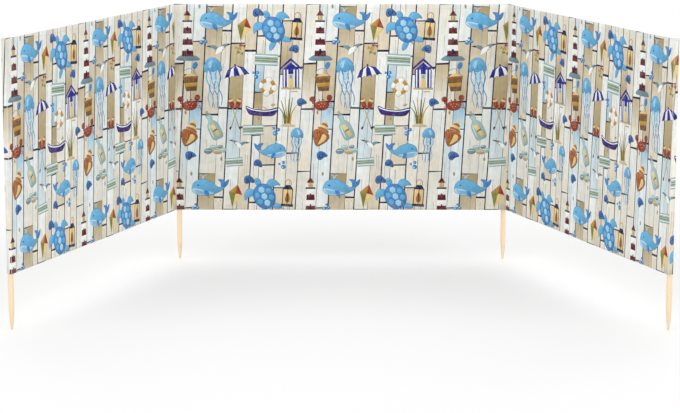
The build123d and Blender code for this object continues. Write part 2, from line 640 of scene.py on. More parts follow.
def periwinkle() -> Iterator[Patch]:
    """Draws a small coiled shell.

    Yields:
        Its patches.
    """
    shell = blob((-15, -4), (-9, 11), (5, 13), (15, 3), (19, -13), (4, -11), (-9, -13))
    yield Patch(shell, Ink.STEEL, 0.3, Ink.NAVY)
    coil = [((2 + i) * math.cos(0.85 * i) - 1, (2 + i) * 0.85 * math.sin(0.85 * i)) for i in range(9)]
    yield Patch(brush(*coil, wide=1.4, thin=3, steps=3), Ink.MIDNIGHT)


def bubbles() -> Iterator[Patch]:
    """Draws three bubbles.

    Yields:
        Its patches.
    """
    for x, y, radius in ((-8, -5, 9), (9, -2, 6.5), (0, 12, 5)):
        yield Patch(disc(x, y, radius, 16), Ink.AZURE, 0.3)
        gleam = oval(x - radius * 0.25, y + radius * 0.3, radius * 0.4, radius * 0.35, steps=10)
        yield Patch(gleam, Ink.PALE_SKY)


def towel() -> Iterator[Patch]:
    """Draws a striped beach towel with fringed ends.

    Yields:
        Its patches.
    """
    yield Patch(slab(0, 0, 92, 44), Ink.TEAL, 0.12, Ink.SLATE)
    for y in (-15, -5, 5, 15):
        yield Patch(slab(0, y, 92, 4), Ink.OLIVE if abs(y) < 10 else Ink.FOAM, 0.12)
    for side in BOTH_SIDES:
        for i in range(8):
            yield Patch(slab(side * 49, -19 + 5.4 * i, 7, 2), Ink.DRIFT)


@dataclass(frozen=True)
class Placement:
    """Where a motif stands in the repeat, to the right and down from its top left corner."""

    draw: Callable[[], Iterator[Patch]]
    right: float
    down: float
    turn: float = 0.0
    scale: float = 1.0
    flip: bool = False


Board = tuple[float, Ink, Ink]
Plank = tuple[float, tuple[Board, ...]]


@dataclass(frozen=True)
class BoardMarks:
    """The cracks, knots and nails of a printed board, at shares of its width and its length."""

    crack_counts: tuple[int, ...] = (1, 1, 2)
    crack_across: Range = (0.25, 0.75)
    crack_start: Range = (0.0, 0.6)
    crack_middle: Range = (0.08, 0.2)
    crack_length: Range = (0.25, 0.4)
    crack_bow: float = 0.02
    crack_widths: Range = (1.3, 0.5)
    knot_chance: float = 0.3
    knot_across: Range = (0.3, 0.7)
    knot_down: Range = (0.3, 0.8)
    knot_radii: Point = (4.5, 8.5)
    heart_radii: Point = (2.0, 4.0)
    nail_chance: float = 0.4
    nails_across: Range = (0.25, 0.75)
    nails_down: float = 0.035
    nail_radius: float = 1.7

    @staticmethod
    def spot(edges: Sequence[Outline], across: float, down: float) -> Point:
        """Finds a place on a board.

        Args:
            edges: Points down its left and right edges.
            across: Share of its width.
            down: Share of its length.

        Returns:
            The place.
        """
        count = len(edges[0])
        at = down * (count - 1)
        i = min(int(at), count - 2)
        ends = [[edge[i][k] * (i + 1 - at) + edge[i + 1][k] * (at - i) for k in (0, 1)] for edge in edges]
        return tuple(left * (1 - across) + right * across for left, right in zip(*ends))

    def draw(self, edges: Sequence[Outline], draws: random.Random) -> Iterator[Patch]:
        """Draws a board's marks.

        Args:
            edges: Points down its left and right edges.
            draws: Where the chances come from.

        Yields:
            The marks.
        """
        for _ in range(draws.choice(self.crack_counts)):
            across, start = draws.uniform(*self.crack_across), draws.uniform(*self.crack_start)
            middle = start + draws.uniform(*self.crack_middle)
            end = start + draws.uniform(*self.crack_length)
            shares = ((across, start), (across + self.crack_bow, middle), (across - self.crack_bow, end))
            wide, thin = self.crack_widths
            crack = brush(*(self.spot(edges, *share) for share in shares), wide=wide, thin=thin, steps=3)
            yield Patch(crack, Ink.SEAM, shade=0.0, grain=0.6)
        if draws.random() < self.knot_chance:
            x, y = self.spot(edges, draws.uniform(*self.knot_across), draws.uniform(*self.knot_down))
            yield Patch(oval(x, y, *self.knot_radii, steps=12), Ink.DUNE, shade=0.2, grain=0.8)
            yield Patch(oval(x, y, *self.heart_radii, steps=8), Ink.SLATE, shade=0.0, grain=0.8)
        if draws.random() < self.nail_chance:
            for across in self.nails_across:
                place = self.spot(edges, across, self.nails_down)
                yield Patch(disc(*place, self.nail_radius), Ink.SLATE, shade=0.0)


@dataclass(frozen=True)
class BeachPrint:
    """The cloth's repeating design: leaning planks of boards, with beach motifs over them.

    A plank is its width and its boards, and a board is its length, its ink and the ink that it fades to.
    """

    repeat_width: float = 509.0
    repeat_height: float = 649.0
    repeat_rows: range = range(-1, 3)
    repeat_columns: range = range(-2, 5)
    lean: float = 3.4
    joint: float = 4.9
    joint_sides: Range = (0.16, 0.5)
    board_gaps: Range = (0.3, 0.9)
    board_shift: float = 137.0
    board_tones: Range = (-0.05, 0.04)
    board_tilts: Range = (-0.02, 0.06)
    board_shades: Range = (-0.1, 0.1)
    edge_step: float = 70.0
    wobble: float = 0.6
    rim: float = 1.3
    seed: int = 11
    marks: BoardMarks = BoardMarks()
    planks: tuple[Plank, ...] = (
        (50, ((230, Ink.CREAM, Ink.CHALK), (176, Ink.SAND, Ink.CREAM), (243, Ink.CHALK, Ink.SHELL))),
        (29, ((410, Ink.FROST, Ink.CREAM), (239, Ink.SHELL, Ink.CREAM))),
        (47, ((110, Ink.BLUEWASH, Ink.MIST), (308, Ink.FROST, Ink.CHALK), (231, Ink.OAT, Ink.SAND))),
        (64, ((190, Ink.CREAM, Ink.SHELL), (230, Ink.CHALK, Ink.CREAM), (229, Ink.DUNE, Ink.OAT))),
        (36, ((300, Ink.SHELL, Ink.CHALK), (349, Ink.CHALK, Ink.CREAM))),
        (54, ((188, Ink.CHALK, Ink.CREAM), (251, Ink.SAND, Ink.DUNE), (210, Ink.MIST, Ink.FROST))),
        (45, ((352, Ink.CREAM, Ink.OAT), (297, Ink.CHALK, Ink.CREAM))),
        (33, ((168, Ink.DUNE, Ink.SAND), (265, Ink.CHALK, Ink.CREAM), (216, Ink.CREAM, Ink.BLUEWASH))),
        (61, ((270, Ink.CHALK, Ink.CREAM), (152, Ink.SHELL, Ink.OAT), (227, Ink.CREAM, Ink.CHALK))),
        (44, ((205, Ink.OAT, Ink.DUNE), (444, Ink.CHALK, Ink.CREAM))),
        (46, ((318, Ink.CREAM, Ink.SHELL), (331, Ink.CHALK, Ink.SHELL))),
    )
    placements: tuple[Placement, ...] = (
        Placement(lighthouse, 50, 118, 0, 1.12),
        Placement(whale, 164, 62, -6),
        Placement(kite, 262, 112, -14),
        Placement(turtle, 380, 98, 24, 1.12),
        Placement(lantern, 470, 92, -4, 1.25),
        Placement(periwinkle, 318, 32, 10, 1.1),
        Placement(bubbles, 112, 142),
        Placement(gull, 172, 176, 6, 0.85),
        Placement(periwinkle, 462, 172, -20, 1.0, True),
        Placement(bucket, 60, 292, 4, 0.92),
        Placement(jellyfish, 150, 306, 4, 1.05),
        Placement(parasol, 240, 282, 10),
        Placement(towel, 352, 214, -3, 0.95),
        Placement(beach_hut, 446, 268, 0, 1.15),
        Placement(bubbles, 312, 270, 60),
        Placement(life_ring, 356, 318, 0, 0.92),
        Placement(crab, 56, 392, 6, 0.88),
        Placement(oars, 230, 422, 0, 0.95),
        Placement(rowing_boat, 332, 410, -4),
        Placement(grass, 432, 414, 0, 0.95),
        Placement(periwinkle, 484, 378, 24),
        Placement(conch, 54, 500, -18, 0.95),
        Placement(bottle, 144, 470, 24, 1.1),
        Placement(towel, 300, 486, 2, 0.85),
        Placement(bubbles, 388, 490, 40, 1.1),
        Placement(jellyfish, 466, 548, -4, 0.72, True),
        Placement(whale, 370, 566, 5, 0.85, True),
        Placement(pebbles, 152, 562, 0, 0.95),
        Placement(gull, 244, 546, -8, 0.7, True),
        Placement(towel, 226, 612, 4, 0.7),
        Placement(periwinkle, 52, 586, 30, 1.1),
        Placement(bubbles, 412, 622, 80),
        Placement(periwinkle, 316, 616, -12, 0.95),
    )

    @property
    def slope(self) -> float:
        """How far the planks lean to the left for each millimetre down."""
        return math.tan(math.radians(self.lean))

    def planking(self) -> Iterator[Patch]:
        """Draws the boards of one repeat, with uneven edges and joints that are wide and narrow by turns.

        Yields:
            Each board, and then its marks.
        """
        draws = random.Random(self.seed)
        left = 0.0
        for index, (width, boards) in enumerate(self.planks):
            down = -(index * self.board_shift) % self.repeat_height
            sides = [self.joint * self.joint_sides[(index + k) % 2] for k in (0, 1)]
            for length, ink, other in boards:
                tone = 1 + draws.uniform(*self.board_tones)
                gap = self.joint * draws.uniform(*self.board_gaps)
                tilt = draws.uniform(*self.board_tilts) * width
                steps = max(2, round(length / self.edge_step))
                downs = [down + gap + (length - 2 * gap) * k / steps for k in range(steps + 1)]
                wobble = (-self.wobble, self.wobble)
                edges = [
                    [(x - self.slope * d + draws.uniform(*wobble), -d + lift) for d in downs]
                    for x, lift in ((left + sides[0], 0.0), (left + width - sides[1], tilt))
                ]
                outline = edges[0] + edges[1][::-1]
                shade = draws.uniform(*self.board_shades)
                yield Patch(outline, ink, shade, grain=1.0, tone=tone, fades_to=other)
                yield from self.marks.draw(edges, draws)
                down += length
            left += width

    def motifs(self) -> Iterator[Patch]:
        """Draws the motifs of one repeat, from its own top left corner.

        Yields:
            Each motif's patches, and under a patch the rim that it may have.
        """
        for place in self.placements:
            for patch in place.draw():
                outline = moved(patch.outline, place.right, -place.down, place.turn, place.scale, place.flip)
                if patch.edge:
                    yield Patch(grown(outline, self.rim), patch.edge)
                yield replace(patch, outline=outline)

    def patches(self, outline: Outline) -> list[Patch]:
        """Repeats the design over a piece of cloth.

        Args:
            outline: Outline of the piece, in the print's own place on the bay.

        Returns:
            The patches that may touch the piece, the boards first.
        """
        low_x, low_y, high_x, high_y = box_of(outline)
        shift = self.slope * self.repeat_height
        found = []
        for layer in (self.planking(), self.motifs()):
            drawn = [(patch, box_of(patch.outline)) for patch in layer]
            for row in self.repeat_rows:
                for column in self.repeat_columns:
                    dx, dy = column * self.repeat_width - row * shift, -row * self.repeat_height
                    for patch, (x0, y0, x1, y1) in drawn:
                        apart = x1 + dx < low_x or x0 + dx > high_x or y1 + dy < low_y or y0 + dy > high_y
                        if not apart:
                            shifted = [(x + dx, y + dy) for x, y in patch.outline]
                            found.append(replace(patch, outline=shifted))
        return found


@dataclass
class CutCloth:
    """A flat piece of printed cloth, divided into triangles along every edge of the print."""

    points: np.ndarray
    triangles: np.ndarray
    inks: np.ndarray

    @classmethod
    def cut(
        cls,
        design: BeachPrint,
        outline: Outline,
        guides: Sequence[tuple[Point, Point]] = (),
        spots: Sequence[Point] = (),
    ) -> "CutCloth":
        """Cuts a piece out of the print.

        Args:
            design: The print.
            outline: Outline of the piece.
            guides: Lines that the piece will bend along.
            spots: Further points, for a piece that curves gently.

        Returns:
            The piece, with a colour for each corner of each triangle.
        """
        patches = [Patch(outline, Ink.JOINT, shade=0.0, grain=0.3), *design.patches(outline)]
        corners: list[Vector] = []
        edges: list[tuple[int, int]] = []
        for line in (*(p.outline for p in patches), *guides):
            first, count = len(corners), len(line)
            corners += [Vector(p) for p in line]
            edges += [(first + k, first + (k + 1) % count) for k in range(count)]
        corners += [Vector(p) for p in spots]
        least_gap = 0.01
        places, _, found, *_ = delaunay_2d_cdt(corners, edges, [], 0, least_gap, False)
        points, triangles = np.array([tuple(p) for p in places]), np.array(found)
        middles = points[triangles].mean(axis=1)
        kept = cls.inside(outline, middles)
        owners = cls.owners(patches, middles[kept])
        used, numbered = np.unique(triangles[kept], return_inverse=True)
        points, triangles = points[used], numbered.reshape(-1, 3)
        return cls(points, triangles, cls.coloured(patches, owners, points[triangles]))

    @staticmethod
    def inside(outline: Outline, places: np.ndarray) -> np.ndarray:
        """Finds which places an outline winds round.

        Args:
            outline: The outline.
            places: The places.

        Returns:
            True for each place inside.
        """
        starts = np.array(outline)
        ends = np.roll(starts, -1, axis=0)
        x, y = places[:, :1], places[:, 1:]
        run, rise = (ends - starts).T
        side = run * (y - starts[:, 1]) - (x - starts[:, 0]) * rise
        up = (starts[:, 1] <= y) & (ends[:, 1] > y) & (side > 0)
        down = (starts[:, 1] > y) & (ends[:, 1] <= y) & (side < 0)
        return up.sum(axis=1) != down.sum(axis=1)

    @classmethod
    def owners(cls, patches: Sequence[Patch], middles: np.ndarray) -> np.ndarray:
        """Finds the topmost patch at the middle of each triangle.

        Args:
            patches: The patches, the lowest first.
            middles: The middles.

        Returns:
            The number of a patch for each middle.
        """
        order = np.argsort(middles[:, 0])
        rights, ups = middles[order].T
        owners = np.zeros(len(middles), dtype=np.int32)
        for number, patch in enumerate(patches):
            low_x, low_y, high_x, high_y = box_of(patch.outline)
            span = slice(*np.searchsorted(rights, (low_x, high_x)))
            near = order[span][(ups[span] > low_y) & (ups[span] < high_y)]
            owners[near[cls.inside(patch.outline, middles[near])]] = number
        return owners

    @staticmethod
    def coloured(patches: Sequence[Patch], owners: np.ndarray, corners: np.ndarray) -> np.ndarray:
        """Works out the ink at each corner of each triangle, lighter at the top left of its patch.

        Args:
            patches: The patches.
            owners: Each triangle's patch.
            corners: Each triangle's corners.

        Returns:
            Red, green and blue, and how much the printed wood grain shows.
        """
        boxes = np.array([box_of(p.outline) for p in patches])[owners]
        looks = np.array([(p.shade, p.grain, p.tone) for p in patches])[owners][:, None]
        first = np.array([p.ink.linear for p in patches])[owners][:, None]
        second = np.array([(p.fades_to or p.ink).linear for p in patches])[owners][:, None]
        low, high = boxes[:, None, :2], boxes[:, None, 2:]
        share = (corners - low) / np.maximum(high - low, 1e-6) - 0.5
        right, up = share[..., :1], share[..., 1:]
        light = looks[..., 2:] * (1 + looks[..., :1] * (LIGHT_UP * up - LIGHT_LEFT * right))
        faded = np.clip(0.5 - FADE_RATE * up, 0, 1)
        inks = np.clip((first + (second - first) * faded) * light, 0, 1)
        inks[..., 3] = looks[..., 1]
        return inks


@dataclass(frozen=True)
class Mottle:
    """A soft noise: its stretch along each axis, its scale and how much finer noise is in it.

    Its spread is the range of the noise that counts, and then the range that it is brought to.
    """

    stretch: Triple | None
    scale: float
    detail: float
    spread: tuple[float, float, float, float] = (0.0, 1.0, 0.0, 1.0)


@dataclass(frozen=True)
class Value:
    """A shader's value that takes part in formulas. Each step of a formula adds a node."""

    nodes: "Nodes"
    socket: bpy.types.NodeSocket

    def math(self, operation: str, *others: "Value | float") -> "Value":
        """Works out an operation on this value and any others."""
        return self.nodes.result("ShaderNodeMath", self, *others, operation=operation)

    def __add__(self, other: "Value | float") -> "Value":
        """The sum of both."""
        return self.math("ADD", other)

    def __sub__(self, other: "Value | float") -> "Value":
        """This value less the other."""
        return self.math("SUBTRACT", other)

    def __rsub__(self, other: float) -> "Value":
        """A number less this value."""
        return self.nodes.result("ShaderNodeMath", other, self, operation="SUBTRACT")

    def __mul__(self, other: "Value | float") -> "Value":
        """The product of both."""
        return self.math("MULTIPLY", other)

    def __truediv__(self, other: float) -> "Value":
        """This value divided by a number."""
        return self.math("DIVIDE", other)

    def __pow__(self, other: float) -> "Value":
        """This value raised to a power."""
        return self.math("POWER", other)

    def __abs__(self) -> "Value":
        """This value without its sign."""
        return self.math("ABSOLUTE")

    def parts(self) -> list["Value"]:
        """The x, y and z of this place."""
        return [Value(self.nodes, part) for part in self.nodes.add("ShaderNodeSeparateXYZ", self).outputs]

    def ranged(self, low: float, high: float, to_low: float, to_high: float) -> "Value":
        """Brings this value from one range to another.

        Args:
            low: Start of its range.
            high: End of its range.
            to_low: Start of the new range.
            to_high: End of the new range.

        Returns:
            The value in the new range.
        """
        return self.nodes.result("ShaderNodeMapRange", self, low, high, to_low, to_high)

    def noise(self, mottle: Mottle) -> "Value":
        """Reads a noise at this place.

        Args:
            mottle: The noise.

        Returns:
            The noise, about 0.5.
        """
        place = self
        if mottle.stretch:
            place = self.nodes.result("ShaderNodeVectorMath", self, mottle.stretch, operation="MULTIPLY")
        node = self.nodes.add("ShaderNodeTexNoise")
        for name, value in (("Vector", place), ("Scale", mottle.scale), ("Detail", mottle.detail)):
            self.nodes.feed(node.inputs[name], value)
        return Value(self.nodes, node.outputs["Fac"])

    def mottled(self, mottle: Mottle) -> "Value":
        """Reads a noise at this place and brings it to its range."""
        return self.noise(mottle).ranged(*mottle.spread)


class Nodes:
    """Short ways to add shader nodes to a material or to the world."""

    def __init__(self, owner: bpy.types.Material | bpy.types.World) -> None:
        """Turns on the owner's node tree and works on it."""
        owner.use_nodes = True
        self.tree = owner.node_tree

    def feed(self, socket: bpy.types.NodeSocket, value: Value | float | Sequence[float]) -> None:
        """Feeds a socket.

        Args:
            socket: The socket.
            value: A value to link to it, or the number, place or colour that it is set to.
        """
        if isinstance(value, Value):
            self.tree.links.new(value.socket, socket)
        else:
            socket.default_value = value

    def add(self, kind: str, *values: Value | float | Sequence[float], **settings: str) -> bpy.types.Node:
        """Adds a node.

        Args:
            kind: Blender's name of the node.
            values: What goes into its sockets, from the first one on.
            settings: The node's own settings.

        Returns:
            The node.
        """
        node = self.tree.nodes.new(kind)
        for name, setting in settings.items():
            setattr(node, name, setting)
        for socket, value in zip(node.inputs, values):
            self.feed(socket, value)
        return node

    def result(self, kind: str, *values: Value | float | Sequence[float], **settings: str) -> Value:
        """Adds a node as add does, and gives what comes out of its first socket."""
        return Value(self, self.add(kind, *values, **settings).outputs[0])

    def read(self, kind: str, output: str, **settings: str) -> Value:
        """Adds a node that reads something of the surface, and gives the named output."""
        return Value(self, self.add(kind, **settings).outputs[output])

    def mixed(
        self, share: Value | float, first: Value | Colour, second: Value | Colour, blend: str = "MIX"
    ) -> Value:
        """Mixes two colours.

        Args:
            share: How much of the second shows.
            first: The first colour.
            second: The second colour.
            blend: How they mix.

        Returns:
            The mixed colour.
        """
        node = self.add("ShaderNodeMix", data_type="RGBA", blend_type=blend)
        for name, value in (("Factor", share), ("A", first), ("B", second)):
            self.feed(next(s for s in node.inputs if s.name == name and s.enabled), value)
        return Value(self, next(s for s in node.outputs if s.enabled))

    def bump(self, height: Value, strength: float, distance: float) -> Value:
        """Adds a bump.

        Args:
            height: The height.
            strength: Its strength.
            distance: Its depth in metres.

        Returns:
            The normal.
        """
        node = self.add("ShaderNodeBump")
        for name, value in (("Strength", strength), ("Distance", distance), ("Height", height)):
            self.feed(node.inputs[name], value)
        return Value(self, node.outputs["Normal"])

    def seen(self) -> Value:
        """Tells the rays that show a surface from those that only light something.

        Returns:
            One for rays from the camera, off a gloss or through glass, and zero for all others.
        """
        rays = self.add("ShaderNodeLightPath").outputs
        seen = Value(self, rays["Is Camera Ray"])
        for name in ("Is Glossy Ray", "Is Transmission Ray"):
            seen = seen.math("MAXIMUM", Value(self, rays[name]))
        return seen


@dataclass(frozen=True, kw_only=True)
class Finish:
    """A surface whose even values stand on the shader's own sockets."""

    name: str
    roughness: float
    specular: float

    def looks(self, nodes: Nodes) -> dict[str, Value | Colour]:
        """Says what goes into the shader besides.

        Args:
            nodes: The material's nodes.

        Returns:
            A value or a colour for each named socket.
        """
        raise NotImplementedError

    def material(self) -> bpy.types.Material:
        """Makes the material.

        Returns:
            The material.
        """
        material = bpy.data.materials.new(self.name)
        nodes = Nodes(material)
        shader = nodes.tree.nodes["Principled BSDF"]
        even = {"Roughness": self.roughness, "Specular IOR Level": self.specular}
        for name, value in (even | self.looks(nodes)).items():
            nodes.feed(shader.inputs[name], value)
        return material


@dataclass(frozen=True, kw_only=True)
class ClothFinish(Finish):
    """Printed woven cloth. Its colour comes from the cut print, and the weave from the cloth's own map."""

    name: str = "printed_weave"
    roughness: float = 0.82
    specular: float = 0.22
    lean: float
    width: float
    height: float
    grain: Mottle = Mottle((260.0, 9.0, 1.0), 1.0, 4.0, (0.35, 0.75, 1.04, 0.88))
    fibres: Mottle = Mottle((90.0, 3.0, 1.0), 1.0, 2.0, (0.3, 0.7, 1.03, 0.95))
    stain: Mottle = Mottle((14.0, 7.0, 1.0), 1.0, 3.0, (0.3, 0.7, 1.03, 0.95))
    wash: Mottle = Mottle(None, 42.0, 5.0, (0.3, 0.65, 0.93, 1.03))
    speckle: Mottle = Mottle(None, 60.0, 4.0, (0.45, 0.8, 0.0, 0.14))
    bleached: Colour = (0.93, 0.94, 0.93, 1.0)
    tint_powers: Triple = (1.08, 1.0, 0.98)
    wear: float = 0.3
    wear_reach: float = 0.004
    thread_pitch: float = 0.0007
    weave_strength: float = 0.5
    weave_depth: float = 0.0002

    def worn(self, x: Value, y: Value) -> Value:
        """Works out how rubbed the cloth is on the folds along its edges.

        Args:
            x: Place along the bay.
            y: Place up the bay.

        Returns:
            The share of the ink that is gone.
        """
        near = abs(y).math("MINIMUM", abs(y + self.height))
        for edge in (0.0, self.width):
            near = near.math("MINIMUM", abs(x - edge))
        return near.ranged(0.0, self.wear_reach, self.wear, 0.0)

    def weave(self, x: Value, y: Value) -> Value:
        """Works out the height of a plain weave, whose threads pass over and under one another.

        Args:
            x: Place along the bay.
            y: Place up the bay.

        Returns:
            The height, from 0 to 1.
        """
        warp, weft = ((place * (math.pi / self.thread_pitch)).math("SINE") for place in (x, y))
        over = (warp * weft).math("GREATER_THAN", 0.0)
        warp_high, weft_high = abs(warp), abs(weft)
        return weft_high + over * (warp_high - weft_high)

    def looks(self, nodes: Nodes) -> dict[str, Value | Colour]:
        """Lays worn wood grain, washed tones and a weave over the inks of the print.

        Args:
            nodes: The material's nodes.

        Returns:
            The colour and the normal.
        """
        ink = nodes.read("ShaderNodeAttribute", "Color", attribute_name="ink")
        share = nodes.read("ShaderNodeAttribute", "Alpha", attribute_name="ink")
        cloth = nodes.read("ShaderNodeUVMap", "UV", uv_map="cloth")
        x, y, _ = cloth.parts()
        along = nodes.result("ShaderNodeCombineXYZ", x - y * math.tan(math.radians(self.lean)), y)
        grain = along.noise(self.grain)
        streaks = grain.ranged(*self.grain.spread) * along.mottled(self.fibres) * along.mottled(self.stain)
        tone = (streaks * share + (1.0 - share)) * cloth.mottled(self.wash)
        bleach = cloth.mottled(self.speckle) * (1.0 - share) + self.worn(x, y) * grain
        grey = nodes.result("ShaderNodeCombineXYZ", *(tone**power for power in self.tint_powers))
        dyed = nodes.mixed(bleach, ink, self.bleached)
        return {
            "Base Color": nodes.mixed(1.0, dyed, grey, "MULTIPLY"),
            "Normal": nodes.bump(self.weave(x, y), self.weave_strength, self.weave_depth),
        }


@dataclass(frozen=True, kw_only=True)
class WoodFinish(Finish):
    """Bare turned pine, whose growth rings stand round a pith line beside the pole."""

    roughness: float = 0.58
    specular: float = 0.35
    middle: Point
    pith: Point
    light: str = "FFE9CA"
    dark: str = "E8C290"
    soil: str = "CFB48C"
    soil_share: float = 0.3
    wander: Mottle = Mottle((3.0, 3.0, 1.2), 2.0, 2.0, (0.3, 0.7, 0.2, 1.0))
    wander_reach: float = 0.02
    fibres: Mottle = Mottle((900.0, 900.0, 14.0), 1.0, 3.0, (0.3, 0.7, 0.55, 1.1))
    flecks: Mottle = Mottle((2600.0, 2600.0, 60.0), 1.0, 1.0, (0.62, 0.74, 0.0, 0.45))
    ring_pitch: float = 0.0032
    ring_power: float = 3.0
    late_wood: Range = (0.1, 0.85)
    point_length: float = 0.09
    lathe_pitch: float = 0.0014
    lathe_start: float = 0.6
    lathe_depth: float = 0.5
    grain_strength: float = 0.3
    grain_depth: float = 0.0003

    def looks(self, nodes: Nodes) -> dict[str, Value | Colour]:
        """Lays rings, fibres and flecks up the pole, and soil and the lathe's marks on its point.

        Args:
            nodes: The material's nodes.

        Returns:
            The colour and the normal.
        """
        place = nodes.read("ShaderNodeTexCoord", "Object")
        x, y, z = place.parts()
        wander, fibres = place.noise(self.wander), place.noise(self.fibres)
        x, y = x - (self.middle[0] + self.pith[0]), y - (self.middle[1] + self.pith[1])
        radius = (x * x + y * y).math("SQRT") + wander * self.wander_reach
        rings = (radius / self.ring_pitch).math("FRACT")
        late = (rings**self.ring_power).ranged(0.0, 1.0, *self.late_wood)
        share = late * fibres.ranged(*self.fibres.spread) + place.mottled(self.flecks)
        bare = nodes.mixed(share, linear_colour(self.light), linear_colour(self.dark))
        soiled = z.ranged(0.0, self.point_length, self.soil_share, 0.0) * wander.ranged(*self.wander.spread)
        turning = (z * (2 * math.pi / self.lathe_pitch)).math("SINE")
        on_point = z.ranged(self.lathe_start * self.point_length, self.point_length, self.lathe_depth, 0.0)
        return {
            "Base Color": nodes.mixed(soiled, bare, linear_colour(self.soil)),
            "Normal": nodes.bump(fibres + turning * on_point, self.grain_strength, self.grain_depth),
        }


@dataclass(frozen=True, kw_only=True)
class ThreadFinish(Finish):
    """Twisted sewing thread."""

    name: str = "sewing_thread"
    roughness: float = 0.6
    specular: float = 0.35
    colour: str = "D6CAB2"
    dimmed: float = 0.8
    twist: Mottle = Mottle(None, 2500.0, 1.0)

    def looks(self, nodes: Nodes) -> dict[str, Value | Colour]:
        """Dims the thread here and there.

        Args:
            nodes: The material's nodes.

        Returns:
            The colour.
        """
        twist = nodes.read("ShaderNodeTexCoord", "Object").noise(self.twist)
        bright = linear_colour(self.colour)
        dim = (*(part * self.dimmed for part in bright[:3]), 1.0)
        return {"Base Color": nodes.mixed(twist, dim, bright)}


@dataclass(frozen=True, kw_only=True)
class FloorFinish(Finish):
    """A pale floor that glows faintly where it is seen, so that it renders white where nothing shades it."""

    name: str = "studio_floor"
    roughness: float = 0.9
    specular: float = 0.0
    grey: float = 0.78
    glow: float = 0.17

    def looks(self, nodes: Nodes) -> dict[str, Value | Colour]:
        """Adds the glow to the grey surface.

        Args:
            nodes: The material's nodes.

        Returns:
            The colour.
        """
        glow = nodes.add("ShaderNodeEmission")
        nodes.feed(glow.inputs["Strength"], nodes.seen() * self.glow)
        surfaces = (Value(nodes, node.outputs[0]) for node in (nodes.tree.nodes["Principled BSDF"], glow))
        both = nodes.result("ShaderNodeAddShader", *surfaces)
        nodes.feed(nodes.tree.nodes["Material Output"].inputs["Surface"], both)
        return {"Base Color": (self.grey, self.grey, self.grey, 1.0)}


def stand(name: str, data: bpy.types.ID) -> bpy.types.Object:
    """Puts a new object into the scene.

    Args:
        name: Its name.
        data: Its mesh, light or camera.

    Returns:
        The object.
    """
    made = bpy.data.objects.new(name, data)
    bpy.context.scene.collection.objects.link(made)
    return made


def skin(
    name: str, corners: list[Triple], faces: list[Sequence[int]], smooth: int, material: bpy.types.Material
) -> bpy.types.Object:
    """Makes an object from corners and faces.

    Args:
        name: Its name.
        corners: The corners.
        faces: The corners of each face, the smooth faces first.
        smooth: Number of smooth faces.
        material: Its material.

    Returns:
        The object.
    """
    mesh = bpy.data.meshes.new(name)
    mesh.from_pydata(corners, [], faces)
    mesh.materials.append(material)
    mesh.polygons.foreach_set("use_smooth", np.arange(len(faces)) < smooth)
    mesh.update()
    return stand(name, mesh)


def clamped(value: float) -> float:
    """Keeps a value from 0 to 1."""
    return min(max(value, 0.0), 1.0)


def beside(row: float, gap: float) -> tuple[float, float, float]:
    """The place of a row, between a place on each side of it."""
    return row - gap, row, row + gap


@dataclass(frozen=True)
class Waves:
    """The gentle waves of a stretched cloth: slow ones that lean to and fro, and quick slanting ones."""

    depth: float = 0.0016
    flat_end: float = 0.07
    growth: float = 0.25
    slow: float = 7.3
    lean: float = 1.4
    lean_pace: float = 3.1
    quick: float = 17.0
    quick_slant: float = 6.0
    quick_share: float = 0.35

    def at(self, across: float, up: float, near_end: float, phase: float) -> float:
        """How far the cloth stands back from flat.

        Args:
            across: Distance from the bay's left end.
            up: Distance from its top edge, below zero.
            near_end: Distance from the nearer end.
            phase: Where the bay's waves start.

        Returns:
            The distance, in metres.
        """
        free = clamped((near_end - self.flat_end) / self.growth)
        free = free * free * (3 - 2 * free)
        slow = math.sin(self.slow * across + phase + self.lean * math.sin(self.lean_pace * up + phase))
        quick = math.sin(self.quick * across - self.quick_slant * up + 2 * phase) * self.quick_share
        return self.depth * free * (slow + quick)


@dataclass(frozen=True)
class Puckers:
    """The small folds that a row of stitches draws into the cloth beside it."""

    depth: float = 0.0003
    pitch: float = 0.011
    reach: float = 0.0045
    wander: float = 1.3
    wander_pace: float = 23.0
    end_gap: float = 0.055
    growth: float = 0.015
    first_step: int = 9
    last_gap: float = 0.05
    spread: float = 3.0

    @property
    def step(self) -> float:
        """Distance between the points that show the folds."""
        return self.pitch / 2

    def at(self, gap: float, along: float, share: float, phase: float) -> float:
        """How strongly a row draws the cloth in or out at a place.

        Args:
            gap: Distance from the row.
            along: Distance along it.
            share: How much of the folds is there.
            phase: Where the bay's waves start.

        Returns:
            The strength, from -1 to 1.
        """
        if abs(gap) >= self.spread * self.reach:
            return 0.0
        turn = 2 * math.pi * along / self.pitch + self.wander * math.sin(self.wander_pace * along + phase)
        return share * math.exp(-((gap / self.reach) ** 2)) * math.sin(turn)


